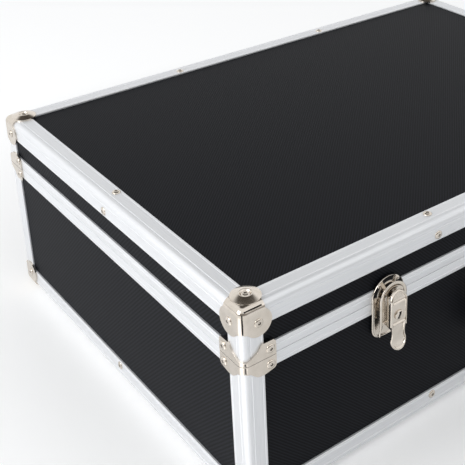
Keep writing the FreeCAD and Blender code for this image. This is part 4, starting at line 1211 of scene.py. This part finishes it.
    def bail(self) -> Skin:
        """The bail: a flat strip bent to an arch, swept with a rounded section, its ends drawn out to two tips."""
        legs = np.linspace(self.bail_z - 2.4, self.pin_z, 8)[:-1]
        tips = np.array([self.bail_z - 9.5, self.bail_z - 7.5, self.bail_z - 5.0, self.bail_z - 3.4])
        turn = np.linspace(math.pi, 0, 33)
        x = np.concatenate([[-12.2, -11.9, -11.4, -11.1], np.full(7, -self.bail_mid), self.bail_mid * np.cos(turn)])
        z = np.concatenate([tips, legs, self.pin_z + self.bail_mid * np.sin(turn)])
        x, z = np.concatenate([x, -x[:11][::-1]]), np.concatenate([z, z[:11][::-1]])
        thick = np.concatenate([[0.5, 0.55, 0.6, 0.8], np.ones(7), np.ones(33), np.ones(7), [0.8, 0.6, 0.55, 0.5]])
        path = np.stack([x, np.full_like(x, self.bail_y), z], axis=1)
        scale = np.stack([thick, np.where(thick < 1, 0.85, 1.0)], axis=1)
        strip = swept(path, oval(1.3, 0.8, 2.2, 20), np.array([0.0, 1.0, 0.0]), scale)
        parts = [strip]
        for side in (-1, 1):
            near, far = sorted((side * 6.3, side * 10.4))
            parts.append(slender(near, far, self.pin, 0, self.bail_y, self.bail_z, Axis.X))
        return joined(parts)

    def lock(self) -> Skin:
        """The lock: a slightly domed plug with an S-shaped keyway, and the cam behind it."""
        front, back = self.face - 0.4, FRONT - 3.4 - SHEET
        radii = np.concatenate([np.linspace(0, 3.2, 22), [3.4, 3.5]])
        dish = np.where(radii > 3.2, 0.35 + (radii - 3.2) * 0.9, 0.35 * (radii / 3.2) ** 2)
        profile = [*zip(radii, dish), (3.5, back - front), (0.0, back - front)]
        plug = lathed(profile, sides=48)
        x, z = plug.points[:, 0], plug.points[:, 1]
        bend = 0.75 * np.sin(z * math.pi / 4.6)
        # painted shade: the S-shaped keyway is marked and sunk 0.7 mm, so the finish paints it dark for the shade in
        # the slot
        open_way = (np.abs(x - bend) < 1.1) & (np.abs(z) < 2.7) & (plug.points[:, 2] < 0.4)
        plug.marks = np.where(open_way, 1.0, 0.0)
        plug.points[:, 2] += 0.7 * plug.marks
        plug = plug.swapped((0, 2, 1)).moved(0, front, self.lock_z)
        arm = rounded_box((-1.5, self.lock_z - 4.7), (1.5, self.lock_z + 1.5), 0.6)
        return joined([plug, slab(arm, back, back + SHEET, Axis.Y)])

    def build(self) -> None:
        """Both latches, the right one a mirror image of the left one."""
        plates, keepers = self.base_plate().moved(-self.place), self.keeper().moved(-self.place)
        steel = self.finishes.nickel
        Piece("latch_base_plates", Body.BASE, "plated_steel", steel, ("latch_plates",),
              crease=45).made_from(both_ends(plates))
        Piece("latch_keeper_arches", Body.LID, "plated_steel", steel, ("latch_keepers",),
              crease=45).made_from(both_ends(keepers))
        lever, bail, lock = (skin.moved(-self.place) for skin in (self.lever(), self.bail(), self.lock()))
        for side, mirror in (("left", False), ("right", True)):
            for part, skin, slot, finish in (("lever", lever, "plated_steel", steel),
                                             ("bail", bail, "plated_steel", steel),
                                             ("lock", lock, "lock_steel", self.finishes.lock)):
                shape = skin.mirrored(Axis.X) if mirror else skin
                Piece(f"{side}_{part}_stamping" if part == "lever" else f"{side}_{part}_form", Body(f"{side}_{part}"),
                      slot, finish, (f"{side}_latch_{part}",), crease=45).made_from(shape)


# Hinges and handle


@dataclass
class Hinges:
    """Two butt hinges on the back: leaves with rounded corners, three knuckles, a pin with rounded ends."""

    finishes: Finishes
    place: float = 150.0
    width: float = 52.0
    leaf: float = 18.0
    barrel: float = 3.0
    axis_y: float = BACK + 3.3
    gap: float = 0.25

    def half(self, upper: bool) -> Skin:
        """One leaf with its knuckles.

        Args:
            upper: Whether it is the lid's leaf, with the middle knuckle; the base's has the outer two.

        Returns:
            The leaf of the left hinge.
        """
        knuckle = self.width / 3
        start = -self.place - self.width / 2
        mine = (1,) if upper else (0, 2)
        sign = 1 if upper else -1
        near, cut_back = 0.15, 3.3
        low_x, high_x = start, start + self.width
        outline = [(low_x + 2, sign * self.leaf), (low_x, sign * (self.leaf - 2))]
        for index in range(3):
            x0, x1 = start + index * knuckle, start + (index + 1) * knuckle
            level = near if index in mine else cut_back
            inset = 0.0 if index in mine else -self.gap
            outline += [(max(x0 + inset, low_x), sign * level), (min(x1 - inset, high_x), sign * level)]
        outline += [(high_x, sign * (self.leaf - 2)), (high_x - 2, sign * self.leaf)]
        plan = np.array(outline) + (0, PARTING)
        parts = [slab(plan, BACK, BACK + SHEET, Axis.Y)]
        for index in mine:
            x0 = start + index * knuckle + self.gap / 2
            parts.append(slender(x0, x0 + knuckle - self.gap, self.barrel, 0, self.axis_y, PARTING, Axis.X, 0.3, 28))
        if not upper:
            parts.append(slender(start + knuckle / 2, start + 2.5 * knuckle, 1.5, 0, self.axis_y, PARTING, Axis.X))
        pad_low = self.leaf if not upper else 9.0
        return joined(parts)

    def build(self) -> None:
        """Both hinges, leaf by leaf."""
        for body, upper in ((Body.BASE, False), (Body.LID, True)):
            Piece(f"{body.value}_hinge_leaf_forms", body, "plated_steel", self.finishes.nickel,
                  (f"{body.value}_hinge_leaves",), bevel=0.2, crease=45).made_from(both_ends(self.half(upper)))


@dataclass
class Handle:
    """The moulded handle on the front: at each end a flat arm that ends in a round eye, and a thick round grip between
    them.
    """

    finishes: Finishes
    half_span: float = 43.0
    pin_z: float = 97.0
    axis_y: float = FRONT - 11.0
    drop: float = 36.0
    eye: float = 5.0
    arm: float = 7.0
    grip: float = 8.0

    def body(self) -> Skin:
        """The handle as one closed form.

        The grip is a run along X whose radius swells in four soft finger waves, r = R - 0.35 (1 - cos 4t);
        each arm is a rounded bar that ends in a round eye.

        Returns:
            The handle.
        """
        reach = self.half_span + self.arm / 2
        grip_z = self.pin_z - self.drop
        t = np.linspace(-1, 1, 61)
        x = t * (reach - 1.5)
        swell = self.grip - 0.3 * (1 - np.cos(4 * math.pi * np.clip(t * 1.15, -1, 1)))
        profile_x = np.concatenate([[-reach, -reach, -reach + 0.5], x, [reach - 0.5, reach, reach]])
        radius = np.concatenate([[0, self.grip - 1.6, self.grip - 0.6], swell, [self.grip - 0.6, self.grip - 1.6, 0]])
        parts = [lathed(list(zip(radius, profile_x)), sides=36).swapped((2, 0, 1)).moved(0, self.axis_y, grip_z)]
        eye = arc((self.axis_y, self.pin_z), self.eye, 0, 180, 17)
        outline = np.concatenate([eye, [(self.axis_y - self.eye, grip_z), (self.axis_y + self.eye, grip_z)]])
        for side in (-1, 1):
            low = side * self.half_span - self.arm / 2
            parts.append(slab(outline, low, low + self.arm, Axis.X))
        return joined(parts)

    def bracket(self) -> Skin:
        """The left bracket: a plate with rounded corners, two lugs and the pin riveted into them."""
        low, high = (-self.half_span - 8, self.pin_z - 14), (-self.half_span + 8, self.pin_z + 14)
        parts = [slab(rounded_box(low, high, 2.5), FRONT, FRONT + SKIN, Axis.Y)]
        lug = self.arm / 2 + 0.25
        web = np.concatenate([[(FRONT + 0.75, self.pin_z - 8), (FRONT + 0.75, self.pin_z + 8)],
                              arc((self.axis_y, self.pin_z), self.eye - 0.3, 75, 285, 17)])
        for side in (-1, 1):
            near, far = sorted((side * lug, side * (lug + 1.5)))
            parts.append(slab(web, near - self.half_span, far - self.half_span, Axis.X))
        parts.append(slender(-self.half_span - lug - 1.5, -self.half_span + lug + 1.5, 2.0, 0, self.axis_y,
                             self.pin_z, Axis.X, 0.4))
        return joined(parts)

    def build(self) -> None:
        """The handle and its two brackets."""
        Piece("handle_moulding", Body.HANDLE, "handle_plastic", self.finishes.plastic, ("handle",),
              bevel=1.2, crease=50).made_from(self.body())
        Piece("handle_bracket_forms", Body.BASE, "plated_steel", self.finishes.nickel, ("handle_brackets",),
              bevel=0.2, crease=45).made_from(both_ends(self.bracket()))


# Inside


@dataclass
class Inside:
    """Felt on the walls and floor, felt-covered dividers, and the foam pad that presses on the disc cases."""

    finishes: Finishes

    def soft_slab(self, low: Sequence[float], high: Sequence[float], flat: Axis, swell: float) -> Skin:
        """A sheet of felt or foam with rounded edges and a slightly uneven face.

        Depth from each face = swell (1 - |2u - 1|^12)(1 - |2v - 1|^12) (0.6 + 0.4 sin 9u sin 7v), u and v from 0
        to 1 across it, so it is full in the middle and thins at its edges.

        Args:
            low: Lowest corner.
            high: Highest corner.
            flat: Direction of its thickness.
            swell: Most that a face stands in front of its edge.

        Returns:
            The closed slab.
        """
        low, high = np.array(low, float), np.array(high, float)
        axes = [axis for axis in range(3) if axis != flat.value]
        t = (1 - np.cos(np.linspace(0, math.pi, 41))) / 2
        u, v = np.meshgrid(t, t, indexing="ij")
        full = (1 - np.abs(2 * u - 1) ** 12) * (1 - np.abs(2 * v - 1) ** 12)
        rise = swell * (1 - full * (0.8 + 0.2 * np.sin(9 * u) * np.sin(7 * v)))
        grids = []
        for face, sign in ((low, 1), (high, -1)):
            grid = np.zeros((*u.shape, 3))
            grid[..., axes[0]] = low[axes[0]] + u * (high - low)[axes[0]]
            grid[..., axes[1]] = low[axes[1]] + v * (high - low)[axes[1]]
            grid[..., flat.value] = face[flat.value] + sign * rise
            grids.append(grid)
        return sheet(*grids)

    def build(self) -> None:
        """Linings, pad and dividers."""
        felt = self.finishes.felt
        x0, x1, y0, y1 = LEFT + 6.5, RIGHT - 6.5, FRONT + 6.5, BACK - 6.5
        floor = FLOOR + 6.5
        base = [self.soft_slab((x0, y0, floor), (x1, y1, floor + LINING), Axis.Z, 0.3)]
        lid = []
        for parts, low, high in ((base, floor + LINING, BASE_TOP - 7.0), (lid, LID_LOW + 7.0, TOP - 6.5)):
            front = self.soft_slab((x0, y0, low), (x1, y0 + LINING, high), Axis.Y, 0.3)
            left = self.soft_slab((x0, y0 + LINING, low), (x0 + LINING, y1 - LINING, high), Axis.X, 0.3)
            parts += [front, front.mirrored(Axis.Y, (FRONT + BACK) / 2), left, left.mirrored(Axis.X)]
        Piece("base_felt_lining", Body.BASE, "lining", felt, ("base_lining",)).made_from(joined(base))
        Piece("lid_felt_lining", Body.LID, "lining", felt, ("lid_lining",)).made_from(joined(lid))
        edge = 6.5 + LINING
        pad = self.soft_slab((LEFT + edge, FRONT + edge, TOP - 10.5), (RIGHT - edge, BACK - edge, TOP - 6.5), Axis.Z, 0.9)
        cushion = Piece("lid_foam_pad", Body.LID, "foam", self.finishes.foam, ("lid_pad",)).made_from(pad)
        for side in ("left", "right"):
            low, high = (np.array(corner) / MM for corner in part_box(f"{side}_divider"))
            board = self.soft_slab(low, high, Axis.X, 0.5)
            Piece(f"{side}_felt_divider", Body.BASE, "divider", felt, (f"{side}_divider",)).made_from(board)


# Panels


@dataclass
class Panels:
    """Plywood panels: their nodes stay, and get the ribbed laminate in the direction of each side."""

    finishes: Finishes

    def build(self) -> None:
        """Dress every panel."""
        for name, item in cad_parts.items():
            if name.endswith("_panel"):
                ends = name.endswith(("left_panel", "right_panel"))
                self.dress(item, self.finishes.end_panel if ends else self.finishes.level_panel)

    def dress(self, item: bpy.types.Object, material: bpy.types.Material) -> None:
        """Put one finish on all of a node's faces."""
        item.data.materials.clear()
        item.data.materials.append(material)
        log.info("%s: dressed with %s", item.name, material.name)


# Studio


@dataclass
class Studio:
    """Camera, lamps, world and floor."""

    place: tuple[float, float, float] = (-0.51342, -0.58928, 0.53030)
    turn: tuple[float, float, float] = (66.5516, 0.4115, -38.8151)
    lens: float = 77.84
    shift: tuple[float, float] = (-0.2069, -0.3301)

    def camera(self) -> None:
        """The photograph's own view, as fitted to the corners of the case."""
        data = bpy.data.cameras.new("camera")
        data.sensor_width, data.lens = 36.0, self.lens
        data.shift_x, data.shift_y = self.shift
        data.clip_start, data.clip_end = 0.01, 50.0
        item = bpy.data.objects.new("camera", data)
        item.location = self.place
        item.rotation_euler = Euler([math.radians(angle) for angle in self.turn])
        bpy.context.scene.collection.objects.link(item)
        bpy.context.scene.camera = item

    def lamp(self, name: str, place: tuple[float, float, float], size: float, power: float) -> None:
        """A square soft lamp that looks at the case.

        Args:
            name: Name of the lamp.
            place: Where it stands, in metres.
            size: Length of its sides in metres.
            power: Power in watts.
        """
        data = bpy.data.lights.new(name, "AREA")
        data.size, data.energy = size, power
        item = bpy.data.objects.new(name, data)
        item.visible_camera = False
        item.location = place
        item.rotation_euler = (Vector((0, 0, 0.08)) - Vector(place)).to_track_quat("-Z", "Y").to_euler()
        bpy.context.scene.collection.objects.link(item)

    def world(self) -> None:
        """White behind the case; reflections see a white room with a grey front and an unlit patch overhead."""
        world = bpy.data.worlds.new("studio")
        bpy.context.scene.world = world
        world.use_nodes = True
        tree = world.node_tree
        tree.nodes.clear()
        ray = node(tree, "ShaderNodeLightPath").outputs
        way = node(tree, "ShaderNodeTexCoord").outputs["Generated"]
        # the unlit patch, up to 28 degrees round its middle, which is overhead and a little behind
        toward = Vector((0.25, 0.38, 0.89)).normalized()
        near = node(tree, "ShaderNodeVectorMath", {0: way, 1: toward}, operation="DOT_PRODUCT").outputs["Value"]
        room = ramp(tree, near, [(0.0, "8f8b87"), (0.12, "ffffff"), (0.88, "ffffff"), (0.945, "5c5853"),
                                 (1.0, "4c4844")])
        shown = node(tree, "ShaderNodeBackground", {"Color": linear("ffffff"), "Strength": 1.0}).outputs[0]
        mirrored = node(tree, "ShaderNodeBackground", {"Color": room, "Strength": 1.15}).outputs[0]
        fill = node(tree, "ShaderNodeBackground", {"Color": linear("f4f6f8"), "Strength": 0.5}).outputs[0]
        glossy = node(tree, "ShaderNodeMixShader", {0: ray["Is Glossy Ray"], 1: fill, 2: mirrored}).outputs[0]
        through = node(tree, "ShaderNodeMath", {0: ray["Is Camera Ray"], 1: ray["Is Transmission Ray"]},
                       operation="MAXIMUM").outputs[0]
        both = node(tree, "ShaderNodeMixShader", {0: through, 1: glossy, 2: shown}).outputs[0]
        node(tree, "ShaderNodeOutputWorld", {"Surface": both})

    def floor(self) -> None:
        """A wide pale floor that keeps the shadow; to the camera and in reflections it glows with painted light, which
        lifts it to white far from the case and less near it.
        """
        mesh = bpy.data.meshes.new("studio_floor")
        mesh.from_pydata([(-6, -6, 0), (6, -6, 0), (6, 6, 0), (-6, 6, 0)], [], [(0, 1, 2, 3)])
        item = bpy.data.objects.new("studio_floor", mesh)
        bpy.context.scene.collection.objects.link(item)
        material, tree, shader = blank("studio_floor_paper")
        ray = node(tree, "ShaderNodeLightPath").outputs
        seen = node(tree, "ShaderNodeMath", {0: ray["Is Camera Ray"], 1: ray["Is Glossy Ray"]},
                    operation="MAXIMUM").outputs[0]
        place = node(tree, "ShaderNodeTexCoord").outputs["Object"]
        # painted light: the floor's glow grows with the distance from the case, from 0.24 near it to 0.42 far off, so
        # it is left darker near the case
        away = node(tree, "ShaderNodeVectorMath", {0: place}, operation="LENGTH").outputs["Value"]
        far = node(tree, "ShaderNodeMapRange", {"Value": away, "From Min": 0.28, "From Max": 0.56,
                                                "To Min": 0.24, "To Max": 0.42}).outputs["Result"]
        shader.inputs["Base Color"].default_value = linear("f2f2f2")
        shader.inputs["Roughness"].default_value = 1.0
        shader.inputs["Specular IOR Level"].default_value = 0.0
        shader.inputs["Emission Color"].default_value = (1, 1, 1, 1)
        lift = node(tree, "ShaderNodeMath", {0: seen, 1: far}, operation="MULTIPLY").outputs[0]
        # painted light: a pool of extra glow on the floor in front of the near corner, seen only in reflections, which
        # paints highlights on the folds of the metal
        beside = node(tree, "ShaderNodeVectorMath", {0: place, 1: (0.40, 0.20, 0.0)}, operation="ADD").outputs[0]
        beside = node(tree, "ShaderNodeVectorMath", {0: beside, 1: (0.6, 1.0, 0.0)}, operation="MULTIPLY").outputs[0]
        beside = node(tree, "ShaderNodeVectorMath", {0: beside}, operation="LENGTH").outputs["Value"]
        pool = node(tree, "ShaderNodeMapRange", {"Value": beside, "From Min": 0.04, "From Max": 0.10,
                                                 "To Min": 1.1, "To Max": 0.0}).outputs["Result"]
        lift = node(tree, "ShaderNodeMath", {0: ray["Is Glossy Ray"], 1: pool, 2: lift},
                    operation="MULTIPLY_ADD").outputs[0]
        tree.links.new(lift, shader.inputs["Emission Strength"])
        mesh.materials.append(material)

    def build(self) -> None:
        """Set up the studio."""
        self.camera()
        self.world()
        self.floor()
        self.lamp("key_from_the_left", (-1.9, -0.1, 1.1), 1.3, 24.0)
        self.lamp("fill_from_the_front", (0.6, -2.2, 1.3), 1.6, 1.5)
        bpy.context.scene.view_settings.view_transform = "Standard"


def main() -> None:
    """Build the studio and every part of the case, in order."""
    logging.basicConfig(level=logging.INFO, format="%(name)s: %(message)s")
    Studio().build()
    finishes = Finishes()
    for part in (Panels, ProfileFrame, CornerCaps, MiddleBrackets, Rivets, Latches, Hinges, Handle, Inside):
        part(finishes).build()


if __name__ == "__main__":
    main()
